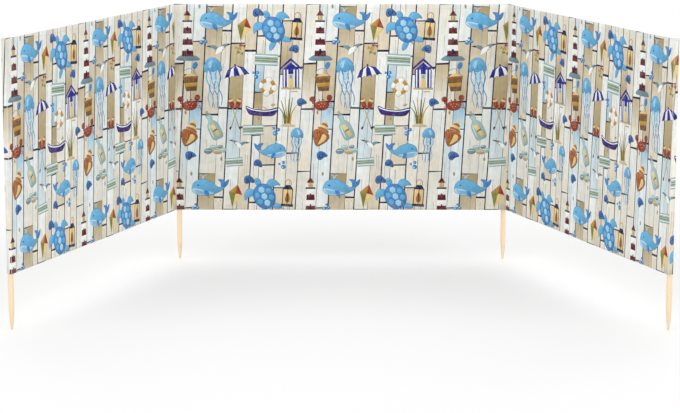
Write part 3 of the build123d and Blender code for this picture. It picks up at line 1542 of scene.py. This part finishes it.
@dataclass
class Bay:
    """One stretched bay of cloth between two poles, with its own place and its gentle waves."""

    name: str
    poles: tuple[str, str]
    phase: float
    waves: Waves = Waves()
    puckers: Puckers = Puckers()
    hem_row: float = 0.016
    flange_rows: tuple[float, ...] = ()
    origin: Vector = field(init=False)
    along: Vector = field(init=False)
    back: Vector = field(init=False)
    length: float = field(init=False)
    height: float = field(init=False)
    thickness: float = field(init=False)
    mitres: tuple[float, float] = field(init=False)

    @property
    def node(self) -> str:
        """The name of its panel in the frame."""
        return f"panel_{self.name}"

    def __post_init__(self) -> None:
        """Reads the bay's place from the frame: the plan of its panel is a thin strip with four corners."""
        low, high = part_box(self.node)
        corners = {(round(v.co.x, 6), round(v.co.y, 6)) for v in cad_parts[self.node].data.vertices}
        plan = sorted((Vector(c) for c in corners), key=lambda c: (c.x, c.y))
        middle = Vector(((cad_low.x + cad_high.x) / 2, cad_low.y))
        left_front, left_back = sorted(plan[:2], key=lambda c: (c - middle).length)
        right_front, right_back = sorted(plan[2:], key=lambda c: (c - middle).length)
        run = right_front - left_front
        self.length, self.height = run.length, high.z - low.z
        self.along = Vector((*run.normalized(), 0.0))
        self.back = Vector((-self.along.y, self.along.x, 0.0))
        self.origin = Vector((*left_front, high.z))
        self.thickness = (left_back - left_front).dot(self.back.xy)
        ends = (left_front - left_back, right_back - right_front)
        self.mitres = tuple(end.dot(self.along.xy) for end in ends)

    def pucker(self, across: float, up: float) -> float:
        """How far the seams draw the cloth in and out beside their stitches.

        Args:
            across: Distance from the bay's left end.
            up: Distance from its top edge, below zero.

        Returns:
            The distance, in metres.
        """
        near_end = min(across, self.length - across)
        clear = clamped((near_end - self.puckers.end_gap) / self.puckers.growth)
        rows = [(up + self.hem_row, across, clear), (up + self.height - self.hem_row, across, clear)]
        rows += [(across - row, up, 1.0) for row in self.flange_rows]
        drawn = 0.0
        for row in rows:
            drawn += self.puckers.at(*row, self.phase)
        return self.puckers.depth * drawn

    def seam_spots(self) -> list[Point]:
        """Places, in millimetres, where the cloth needs points to show its puckers.

        Returns:
            The places.
        """
        step, reach = self.puckers.step, self.puckers.reach
        rows = (-self.hem_row, self.hem_row - self.height)
        steps = range(self.puckers.first_step, int((self.length - self.puckers.last_gap) / step))
        places = [(i * step, y) for i in steps for row in rows for y in beside(row, reach)]
        steps = range(1, int(self.height / step))
        places += [(x, -i * step) for i in steps for row in self.flange_rows for x in beside(row, reach)]
        return [(x / MM, y / MM) for x, y in places]

    def flat(self, across: float, up: float, depth: float) -> Vector:
        """Finds a place by the bay's flat plan, past its ends too.

        Args:
            across: Distance from the bay's left end.
            up: Distance from its top edge, below zero.
            depth: Distance behind the cloth's front.

        Returns:
            The place in the row's frame.
        """
        return self.origin + self.along * across + self.back * depth + Vector((0, 0, up))

    def place(self, across: float, up: float, depth: float) -> Vector:
        """Finds a place on the stretched cloth, between the mitres of its ends.

        Args:
            across: Distance from the bay's left end.
            up: Distance from its top edge, below zero.
            depth: Distance behind the cloth's front.

        Returns:
            The place in the row's frame.
        """
        left, right = (mitre * depth / self.thickness for mitre in self.mitres)
        stretched = -left + across * (self.length + left + right) / self.length
        near_end = min(across, self.length - across)
        off = self.waves.at(across, up, near_end, self.phase) + self.pucker(across, up)
        return self.flat(stretched, up, depth + off)

    def front(self, x: float, y: float, depth: float) -> Vector:
        """Lays the print's own place, in millimetres, on the bay."""
        return self.place(x * MM, y * MM, depth)


@dataclass
class Sheet:
    """A piece of printed cloth that is laid along a surface, as a closed skin of even thickness."""

    name: str
    cut: CutCloth
    lay: Lay
    thickness: float
    print_behind: bool = False
    reverse: str = "F3F0E8"
    fade: float = 0.52

    def build(self, material: bpy.types.Material) -> bpy.types.Object:
        """Makes the mesh: the printed side in its inks, and the other side pale where they show through.

        Args:
            material: The cloth's material.

        Returns:
            The piece.
        """
        triangles = self.cut.triangles
        sides = [[self.lay(x, y, depth) for x, y in self.cut.points] for depth in (0.0, self.thickness)]
        near, far = (np.array([tuple(p) for p in side]) for side in sides)
        a, b, c = (near[triangles[:, k]] for k in range(3))
        facing = np.einsum("ij,ij->i", np.cross(b - a, c - a), (far - near)[triangles[:, 0]])
        turned = facing.sum() >= 0
        outward = triangles[:, ::-1] if turned else triangles
        rim = self.rim(outward)
        faces = [*outward.tolist(), *(outward[:, ::-1] + len(near)).tolist(), *rim]
        corners = np.concatenate((near, far)).tolist()
        piece = skin(self.name, corners, faces, 2 * len(triangles), material)
        self.colour(piece.data, turned, len(rim))
        return piece

    @staticmethod
    def rim(triangles: np.ndarray) -> list[tuple[int, int, int, int]]:
        """Finds the faces that close the piece round its edge.

        Args:
            triangles: The near side's triangles.

        Returns:
            One face with four corners for each edge that only one triangle has.
        """
        count = int(triangles.max()) + 1
        ways = {(int(t[k]), int(t[(k + 1) % 3])) for t in triangles for k in range(3)}
        return [(b, a, a + count, b + count) for a, b in sorted(ways) if (b, a) not in ways]

    def colour(self, mesh: bpy.types.Mesh, turned: bool, rims: int) -> None:
        """Gives each corner its ink, and its place on the flat cloth.

        Args:
            mesh: The mesh to colour.
            turned: Whether its near triangles run the other way round than the cut's.
            rims: Number of faces round the edge.
        """
        near = self.cut.inks[:, ::-1] if turned else self.cut.inks
        far = near[:, ::-1]
        pale = np.array([*linear_colour(self.reverse)[:3], 0.0])
        if self.print_behind:
            near = near + (pale - near) * self.fade
        else:
            far = far + (pale - far) * self.fade
        edge = np.tile(pale, (rims * 4, 1))
        colours = np.concatenate((near.reshape(-1, 4), far.reshape(-1, 4), edge))
        layer = mesh.color_attributes.new("ink", "FLOAT_COLOR", "CORNER")
        layer.data.foreach_set("color", colours.ravel())
        places = np.tile(self.cut.points * MM, (2, 1))
        loops = np.empty(len(mesh.loops), dtype=np.int32)
        mesh.loops.foreach_get("vertex_index", loops)
        mesh.uv_layers.new(name="cloth").data.foreach_set("uv", places[loops].ravel())


@dataclass(frozen=True)
class Seam:
    """A row of stitches from one place to another, in millimetres on a laid piece of cloth.

    Each face that the thread shows on is its depth, and 1 where it looks away from the cloth's front, or -1.
    """

    lay: Lay
    start: Point
    end: Point
    faces: tuple[tuple[float, int], ...]


@dataclass
class Stitching:
    """Rows of lock stitches, in millimetres: on each face, short rounded bars of thread with sunk ends.

    The corners of a stitch's section lie to the side and up from the face, in shares of the thread's radius.
    """

    name: str
    seams: Sequence[Seam]
    pitch: float = 3.6
    stitch: float = 3.2
    thread: float = 0.75
    section: tuple[Point, ...] = ((1, 0.3), (0, 1.3), (-1, 0.3), (0, -0.7))
    section_ends: Range = (-0.6, 0.6)
    tip_lift: float = -0.4

    def build(self, material: bpy.types.Material) -> bpy.types.Object:
        """Makes all the stitches as one mesh.

        Args:
            material: The thread's material.

        Returns:
            The piece.
        """
        corners: list[Triple] = []
        faces: list[tuple[int, ...]] = []
        for seam in self.seams:
            for depth, outward in seam.faces:
                self.sew(seam, depth, outward, corners, faces)
        return skin(self.name, corners, faces, len(faces), material)

    def sew(
        self, seam: Seam, depth: float, outward: int, corners: list[Triple], faces: list[tuple[int, ...]]
    ) -> None:
        """Adds a row's stitches on one face of the cloth.

        Args:
            seam: The row.
            depth: Depth of the face.
            outward: 1 where the face looks away from the cloth's front, or -1.
            corners: Corners made so far.
            faces: Faces made so far.
        """
        (x0, y0), (x1, y1) = seam.start, seam.end
        run = math.hypot(x1 - x0, y1 - y0)
        ax, ay = (x1 - x0) / run, (y1 - y0) / run
        count, sides = int(run / self.pitch), len(self.section)
        half, reach = self.thread / 2, self.stitch / 2
        for i in range(count):
            middle = (i + 0.5) * run / count
            first = len(corners)
            spots = [(share, 0, self.tip_lift) for share in (-1.0, 1.0)]
            spots += [(share, *corner) for share in self.section_ends for corner in self.section]
            for share, side, lift in spots:
                place = middle + share * reach
                x, y = x0 + ax * place - ay * (side * half), y0 + ay * place + ax * (side * half)
                corners.append(tuple(seam.lay(x, y, depth + outward * lift * half * MM)))
            for k in range(sides):
                a, b = first + 2 + k, first + 2 + (k + 1) % sides
                c, d = a + sides, b + sides
                ring = [(first, b, a), (a, b, d, c), (first + 1, c, d)]
                faces += [face[::-1] for face in ring] if outward > 0 else ring


@dataclass
class Pocket:
    """A strip of cloth sewn to the back of a bay, round a pole, with a closed top.

    Its path is its inner line seen from above, with the distance run and the normal at each point.
    """

    number: int
    bay: Bay
    wall: float
    from_right: bool
    wing: Bay | None = None
    clearance: float = 0.0004
    slope: float = 50.0
    bend: float = 0.003
    flange: float = 0.018
    straight_share: float = 0.3
    arc_steps: tuple[int, int, int] = (3, 14, 5)
    seam_rows: Range = (0.005, 0.0125)
    seam_margin: float = 0.005
    cap_seam_start: float = 0.001
    thickness: float = 0.001
    cap_drop: float = 0.001
    cap_steps: int = 12
    cap_rings: Range = (0.35, 0.7)
    ring_sweep: float = 330.0
    ring_steps: int = 11
    dome: float = 0.0012
    bore: float = field(init=False)
    foot: float = field(init=False)
    pole: Vector = field(init=False)
    path: list[Vector] = field(init=False)
    runs: list[float] = field(init=False)
    normals: list[Vector] = field(init=False)

    def __post_init__(self) -> None:
        """Reads the pole's size from the frame and works out the path."""
        low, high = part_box(f"pole_{self.number}")
        angle = math.radians(self.slope)
        self.bore = (high.x - low.x) / 2 + self.clearance
        self.foot = self.bore * (1 + math.sin(angle) + (1 + math.cos(angle)) / math.tan(angle))
        self.pole = Vector((self.wall + self.bore, self.bay.thickness + self.bore))
        self.path = self.inner_line()
        self.runs, self.normals = [0.0], []
        for a, b in zip(self.path, self.path[1:]):
            self.runs.append(self.runs[-1] + (b - a).length)
        for before, after in zip([self.path[0], *self.path], [*self.path[1:], self.path[-1]]):
            way = after - before
            self.normals.append(Vector((-way.y, way.x)).normalized())

    @property
    def name(self) -> str:
        """Its name in the frame."""
        return f"pocket_{self.number}"

    @property
    def seam_middle(self) -> float:
        """Distance from the flange's bend to the middle of its two rows of stitches."""
        return sum(self.seam_rows) / 2

    def printed(self, run: float) -> float:
        """Finds the print's own place, in millimetres, at a distance from where the strip starts."""
        start, way = (self.bay.length / MM, 1) if self.from_right else (0.0, -1)
        return start + way * run / MM

    def across(self, x: float) -> float:
        """Turns a distance from the bay's end at the pole into one from its left end."""
        return self.bay.length - x if self.from_right else x

    def rows_across(self) -> list[float]:
        """Places of the flange's rows of stitches, as distances from the bay's left end."""
        return [self.across(self.wall + self.foot + row) for row in self.seam_rows]

    @staticmethod
    def arc(middle: Vector, radius: float, start: float, sweep: float, steps: int) -> list[Vector]:
        """Points of an arc in plan.

        Args:
            middle: Its middle.
            radius: Its radius.
            start: Angle where it starts, in degrees.
            sweep: Angle that it covers, in degrees.
            steps: Number of straight edges.

        Returns:
            The points, with both ends.
        """
        angles = [math.radians(start + sweep * i / steps) for i in range(steps + 1)]
        return [middle + Vector((math.cos(a), math.sin(a))) * radius for a in angles]

    def inner_line(self) -> list[Vector]:
        """The strip's inner line in the bay's plan, as distance from its end and depth behind its front.

        Returns:
            Points from the outer wall's foot, or the wing's flange, to the end of the sewn flange.
        """
        wing_steps, pole_steps, foot_steps = self.arc_steps
        points = [Vector((self.wall, self.bay.thickness))]
        if self.wing:
            turn = math.acos(max(-1.0, min(1.0, self.bay.along.dot(self.wing.along))))
            away = Vector((-math.cos(turn), -math.sin(turn)))
            lean = math.degrees(turn) - 90
            reach = self.bend * math.tan(-math.radians(lean) / 2)
            middle = points[0] + Vector((-self.bend, reach))
            points = [points[0] + away * self.flange, points[0] + away * self.flange * self.straight_share]
            points += self.arc(middle, self.bend, lean, -lean, wing_steps)
        points += self.arc(self.pole, self.bore, 180, -90 - self.slope, pole_steps)
        foot = Vector((self.wall + self.foot, self.bay.thickness))
        middle = foot + Vector((self.bend * math.tan(math.radians(self.slope) / 2), self.bend))
        points += self.arc(middle, self.bend, 270 - self.slope, self.slope, foot_steps)
        return [*points, foot + Vector((self.flange, 0))]

    def lay(self, x: float, y: float, depth: float) -> Vector:
        """Lays the strip round the pole.

        Args:
            x: Place in the print, to the right.
            y: Place in the print, up.
            depth: Distance out from the pole.

        Returns:
            The place in the row's frame.
        """
        run = abs(x - self.printed(0.0)) * MM
        i = bisect_right(self.runs, run + 1e-9, hi=len(self.runs) - 1) - 1
        t = (run - self.runs[i]) / (self.runs[i + 1] - self.runs[i])
        normal = self.normals[i].lerp(self.normals[i + 1], t)
        spot = self.path[i].lerp(self.path[i + 1], t) + normal * depth
        across = self.across(spot.x)
        # The flange takes part in the cloth's puckers, which end where the strip rises off it
        on_cloth = clamped(2.0 - spot.y / (2 * self.thickness)) if spot.x > self.foot / 2 else 0.0
        return self.bay.flat(across, y * MM, spot.y + on_cloth * self.bay.pucker(across, y * MM))

    def strip(self, design: BeachPrint) -> Sheet:
        """Cuts the strip, whose print runs on round the end of the bay.

        Args:
            design: The print.

        Returns:
            The strip.
        """
        low, high = -self.bay.height / MM, -self.cap_drop / MM
        near, far = sorted((self.printed(0.0), self.printed(self.runs[-1])))
        folds = [self.printed(run) for run in self.runs[1:-1]]
        lines = [((x, low), (x, high)) for x in folds]
        middle = self.printed(self.runs[-1] - self.flange + self.seam_middle)
        step, reach = self.bay.puckers.step / MM, self.bay.puckers.reach / MM
        spots = [(x, -i * step) for i in range(1, int(-low / step)) for x in beside(middle, reach)]
        cut = CutCloth.cut(design, [(near, low), (far, low), (far, high), (near, high)], lines, spots)
        return Sheet(f"sewn_{self.name}", cut, self.lay, self.thickness, print_behind=True)

    def lay_cap(self, x: float, y: float, depth: float) -> Vector:
        """Lays the closed top, a little domed over the pole's end.

        Args:
            x: Distance from the bay's end.
            y: Distance behind its front.
            depth: Distance down from the top's upper side.

        Returns:
            The place in the row's frame.
        """
        spot = Vector((x, y)) * MM
        away = min((spot - self.pole).length / self.bore, 1.0)
        rise = self.dome * (1 - away * away)
        return self.bay.flat(self.across(spot.x), -depth + rise, spot.y)

    def cap(self, design: BeachPrint) -> Sheet:
        """Cuts the closed top, round the pole and back along the cloth.

        Args:
            design: The print.

        Returns:
            The top.
        """
        depth = self.bay.thickness
        outline = self.arc(self.pole, self.bore + self.thickness, 180, -90 - self.slope, self.cap_steps)
        leave = outline[-1]
        foot = leave.x + (leave.y - depth) / math.tan(math.radians(self.slope))
        outline += [Vector((foot, depth)), Vector((self.wall - self.thickness, depth))]
        radii = [self.bore * share for share in self.cap_rings]
        rings = [self.arc(self.pole, radius, 0, self.ring_sweep, self.ring_steps) for radius in radii]
        inner = [self.pole, *(p for ring in rings for p in ring)]
        edge, spots = ([(p.x / MM, p.y / MM) for p in points] for points in (outline, inner))
        cut = CutCloth.cut(design, edge, (), spots)
        return Sheet(f"sewn_cap_{self.number}", cut, self.lay_cap, self.thickness)

    def seams(self) -> list[tuple[Bay, Seam]]:
        """Sews the pocket's flanges to the cloth and its closed top to its wall.

        Returns:
            Each row of stitches, and the bay that it is sewn to.
        """
        high, low = -self.seam_margin / MM, -self.bay.height / MM + self.seam_margin / MM
        both_faces = ((0.0, -1), (self.bay.thickness + self.thickness, 1))
        rows = [(self.bay, across / MM) for across in self.rows_across()]
        if self.wing:
            places = [row if self.from_right else self.wing.length - row for row in self.seam_rows]
            rows += [(self.wing, across / MM) for across in places]
        seams = [(bay, Seam(bay.front, (x, high), (x, low), both_faces)) for bay, x in rows]
        first = self.flange if self.wing else self.cap_seam_start
        ends = [(self.printed(run), high) for run in (first, self.runs[-1] - self.flange)]
        return [*seams, (self.bay, Seam(self.lay, *ends, ((self.thickness, 1),)))]


class Edge(Enum):
    """The two edges of a bay that are hemmed."""

    TOP = "top"
    BOTTOM = "bottom"


@dataclass
class Hem:
    """The cloth's top or bottom edge, folded to the back of a bay and sewn down."""

    bay: Bay
    edge: Edge
    thickness: float = 0.001
    fold: float = 0.0008
    fold_lines: Range = (0.3, 1.0)
    least_round: float = 0.02
    seam_margin: float = 0.002
    columns: int = 48
    column_share: float = 0.35
    row_gap: float = 0.0035
    end_gap: float = 0.001

    @property
    def node(self) -> str:
        """Its name in the frame."""
        return f"{self.edge.value}_hem_{self.bay.name}"

    @property
    def sign(self) -> int:
        """Which way the hem runs on in the print: 1 upwards, or -1 downwards."""
        return 1 if self.edge is Edge.TOP else -1

    @property
    def bend(self) -> float:
        """Where the bay's edge lies in the print."""
        return 0.0 if self.edge is Edge.TOP else -self.bay.height / MM

    def ends(self) -> Range:
        """Finds where the hem starts and ends along its bay.

        Returns:
            Both distances from the bay's left end, in millimetres.
        """
        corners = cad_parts[self.node].data.vertices
        spots = [(corner.co - self.bay.origin).dot(self.bay.along) for corner in corners]
        return min(spots) / MM, max(spots) / MM

    def seam(self) -> Seam:
        """Sews the hem down, through both layers.

        Returns:
            Its row of stitches.
        """
        start, end = self.ends()
        up = (-self.bay.hem_row if self.edge is Edge.TOP else self.bay.hem_row - self.bay.height) / MM
        places = ((start + self.seam_margin / MM, up), (end - self.seam_margin / MM, up))
        return Seam(self.bay.front, *places, ((0.0, -1), (self.bay.thickness + self.thickness, 1)))

    def lay(self, x: float, y: float, depth: float) -> Vector:
        """Lays the hem, folded back over the bay.

        Args:
            x: Place in the print, to the right.
            y: Place in the print, up.
            depth: Distance behind the bay's back, where the fold is past.

        Returns:
            The place in the row's frame.
        """
        past = abs(y - self.bend) * MM
        rounding = math.sqrt(max(1 - (1 - min(past / self.fold, 1.0)) ** 2, self.least_round))
        up = self.bend * MM - self.sign * past
        return self.bay.place(x * MM, up, self.bay.thickness + depth * rounding)

    def sheet(self, design: BeachPrint) -> Sheet:
        """Cuts the hem, which runs on past the bay's edge in the print.

        Args:
            design: The print.

        Returns:
            The hem.
        """
        low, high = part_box(self.node)
        x0, x1 = self.ends()
        edge, sign = self.bend, self.sign
        width = (high.z - low.z) / MM
        near, far = sorted((edge, edge + sign * width))
        folds = [edge + sign * self.fold / MM * share for share in self.fold_lines]
        lines = [((x0, y), (x1, y)) for y in folds]
        inner = edge + sign * width * self.column_share
        spots = [(x0 + (x1 - x0) * i / self.columns, inner) for i in range(1, self.columns)]
        row, step = edge + sign * self.bay.hem_row / MM, self.bay.puckers.step / MM
        places = [i * step for i in range(self.bay.puckers.first_step, int(x1 / step))]
        places = [x for x in places if x0 + self.end_gap / MM < x]
        spots += [(x, y) for x in places for y in beside(row, self.row_gap / MM)]
        cut = CutCloth.cut(design, [(x0, near), (x1, near), (x1, far), (x0, far)], lines, spots)
        return Sheet(f"sewn_{self.node}", cut, self.lay, self.thickness, print_behind=True)


@dataclass
class Studio:
    """A pale floor, a white backdrop, soft lamps and the camera."""

    lens: float = 121.84
    sensor_width: float = 36.0
    camera_place: Triple = (0.6658, -8.8054, 1.8425)
    pitch: float = 10.53
    yaw: float = 0.264
    floor_size: float = 80.0
    world_light: float = 0.65
    lamp_width: float = 60.0
    lamps: tuple[tuple[str, Triple, float], ...] = (
        ("lamp_left", (-1.05, -0.95, 0.85), 0.9),
        ("lamp_right", (1.05, -0.95, 0.85), 0.9),
        ("lamp_back", (0.1, 1.0, 0.8), 0.75),
    )

    def build(self) -> None:
        """Makes everything round the object."""
        half = self.floor_size / 2
        corners = [(-half, -half, 0), (half, -half, 0), (half, half, 0), (-half, half, 0)]
        skin("floor", corners, [(0, 1, 2, 3)], 0, FloorFinish().material())
        self.world()
        for name, direction, power in self.lamps:
            self.lamp(name, direction, power)
        self.camera()

    def world(self) -> None:
        """Makes the even light from all round, white where it is seen."""
        world = bpy.data.worlds.new("studio")
        bpy.context.scene.world = world
        nodes = Nodes(world)
        background = nodes.tree.nodes["Background"]
        nodes.feed(background.inputs["Color"], (1.0, 1.0, 1.0, 1.0))
        nodes.feed(background.inputs["Strength"], nodes.seen().ranged(0.0, 1.0, self.world_light, 1.0))

    def lamp(self, name: str, direction: Triple, power: float) -> None:
        """Adds a wide soft lamp that lights the object and the whole floor alike.

        Args:
            name: Its name.
            direction: Where it shines from.
            power: Its power.
        """
        data = bpy.data.lights.new(name, "SUN")
        data.angle, data.energy = math.radians(self.lamp_width), power
        lamp = stand(name, data)
        lamp.rotation_mode = "QUATERNION"
        lamp.rotation_quaternion = Vector(direction).to_track_quat("Z", "Y")

    def camera(self) -> None:
        """Adds the camera and sets the plain view transform."""
        data = bpy.data.cameras.new("camera")
        data.lens, data.sensor_width = self.lens, self.sensor_width
        camera = stand("camera", data)
        camera.location = self.camera_place
        camera.rotation_euler = (math.radians(90 - self.pitch), 0.0, math.radians(self.yaw))
        bpy.context.scene.camera = camera
        bpy.context.scene.view_settings.view_transform = "Standard"


class Slot(Enum):
    """Names for the printed and the sewn parts of the cloth."""

    PRINTED = "printed_cloth"
    SEWN = "sewn_cloth"


@dataclass
class Windbreak:
    """The whole object: bays, pockets, hems, stitches and poles."""

    columns: int = 42
    rows: int = 26
    piths: tuple[Point, ...] = ((0.031, 0.012), (-0.02, 0.034), (0.026, -0.022), (-0.036, 0.008))

    def __post_init__(self) -> None:
        """Reads the bays from the frame and sets up the finishes."""
        self.left = Bay("left", ("pole_1", "pole_2"), phase=0.4)
        self.centre = Bay("centre", ("pole_2", "pole_3"), phase=2.1)
        self.right = Bay("right", ("pole_3", "pole_4"), phase=3.7)
        self.bays = (self.left, self.centre, self.right)
        corner_wall, end_wall = -self.centre.mitres[0], self.centre.thickness
        self.pockets = (
            Pocket(1, self.left, end_wall, from_right=False),
            Pocket(2, self.centre, corner_wall, from_right=False, wing=self.left),
            Pocket(3, self.centre, corner_wall, from_right=True, wing=self.right),
            Pocket(4, self.right, end_wall, from_right=True),
        )
        for bay in self.bays:
            bay.flange_rows = tuple(sum(p.rows_across()) / 2 for p in self.pockets if p.bay is bay)
        self.design = BeachPrint()
        width, height = self.centre.length, self.centre.height
        self.cloth = ClothFinish(lean=self.design.lean, width=width, height=height).material()
        self.thread = ThreadFinish().material()
        self.sewn: dict[str, list[bpy.types.Object]] = {bay.name: [] for bay in self.bays}
        self.seams: dict[str, list[Seam]] = {bay.name: [] for bay in self.bays}

    @staticmethod
    def tie(piece: bpy.types.Object, node: str | None, slot: Slot) -> bpy.types.Object:
        """Ties a piece to the frame.

        Args:
            piece: The piece.
            node: The CAD node that it stands for, or None.
            slot: Not used.

        Returns:
            The piece.
        """
        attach(piece, BODY)
        if node:
            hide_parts(node)
        log.info("%s: %d faces", piece.name, len(piece.data.polygons))
        return piece

    def build(self) -> None:
        """Makes every piece."""
        panels = self.panels()
        for pocket in self.pockets:
            self.sew_pocket(pocket)
        for bay in self.bays:
            for edge in Edge:
                hem = Hem(bay, edge)
                piece = hem.sheet(self.design).build(self.cloth)
                self.sewn[bay.name].append(self.tie(piece, hem.node, Slot.SEWN))
                self.seams[bay.name].append(hem.seam())
            piece = Stitching(f"stitches_{bay.name}", self.seams[bay.name]).build(self.thread)
            self.sewn[bay.name].append(self.tie(piece, None, Slot.SEWN))
        for bay, panel in zip(self.bays, panels):
            list(bay.poles)
            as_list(self.sewn[bay.name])
        self.poles()

    def panels(self) -> list[bpy.types.Object]:
        """Makes the three bays of cloth from one cut.

        Returns:
            The panels, from left to right.
        """
        width, height = self.centre.length / MM, self.centre.height / MM
        lines = [width * i / self.columns for i in range(1, self.columns)]
        spots = [(x, -height * j / self.rows) for x in lines for j in range(1, self.rows)]
        spots += self.centre.seam_spots()
        cut = CutCloth.cut(self.design, [(0, -height), (width, -height), (width, 0), (0, 0)], (), spots)
        made = []
        for bay in self.bays:
            piece = Sheet(f"cloth_{bay.name}", cut, bay.front, bay.thickness).build(self.cloth)
            made.append(self.tie(piece, bay.node, Slot.PRINTED))
        return made

    def sew_pocket(self, pocket: Pocket) -> None:
        """Makes a pocket's strip and its closed top, and notes its seams.

        Args:
            pocket: The pocket.
        """
        for bay, seam in pocket.seams():
            self.seams[bay.name].append(seam)
        nodes = (pocket.name, f"pocket_cap_{pocket.number}")
        for sheet, node in zip((pocket.strip(self.design), pocket.cap(self.design)), nodes):
            self.sewn[pocket.bay.name].append(self.tie(sheet.build(self.cloth), node, Slot.SEWN))

    def poles(self) -> None:
        """Gives each pole its own grain."""
        for i, pith in enumerate(self.piths, 1):
            node = f"pole_{i}"
            low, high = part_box(node)
            middle = ((low.x + high.x) / 2, (low.y + high.y) / 2)
            material = WoodFinish(name=f"turned_pine_{i}", middle=middle, pith=pith).material()
            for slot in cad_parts[node].material_slots:
                slot.material = material
            log.info("%s dressed", node)


def main() -> None:
    """Builds the studio and the windbreak."""
    logging.basicConfig(level=logging.INFO, format="%(message)s")
    Studio().build()
    Windbreak().build()
    bpy.context.view_layer.update()


if __name__ == "__main__":
    main()
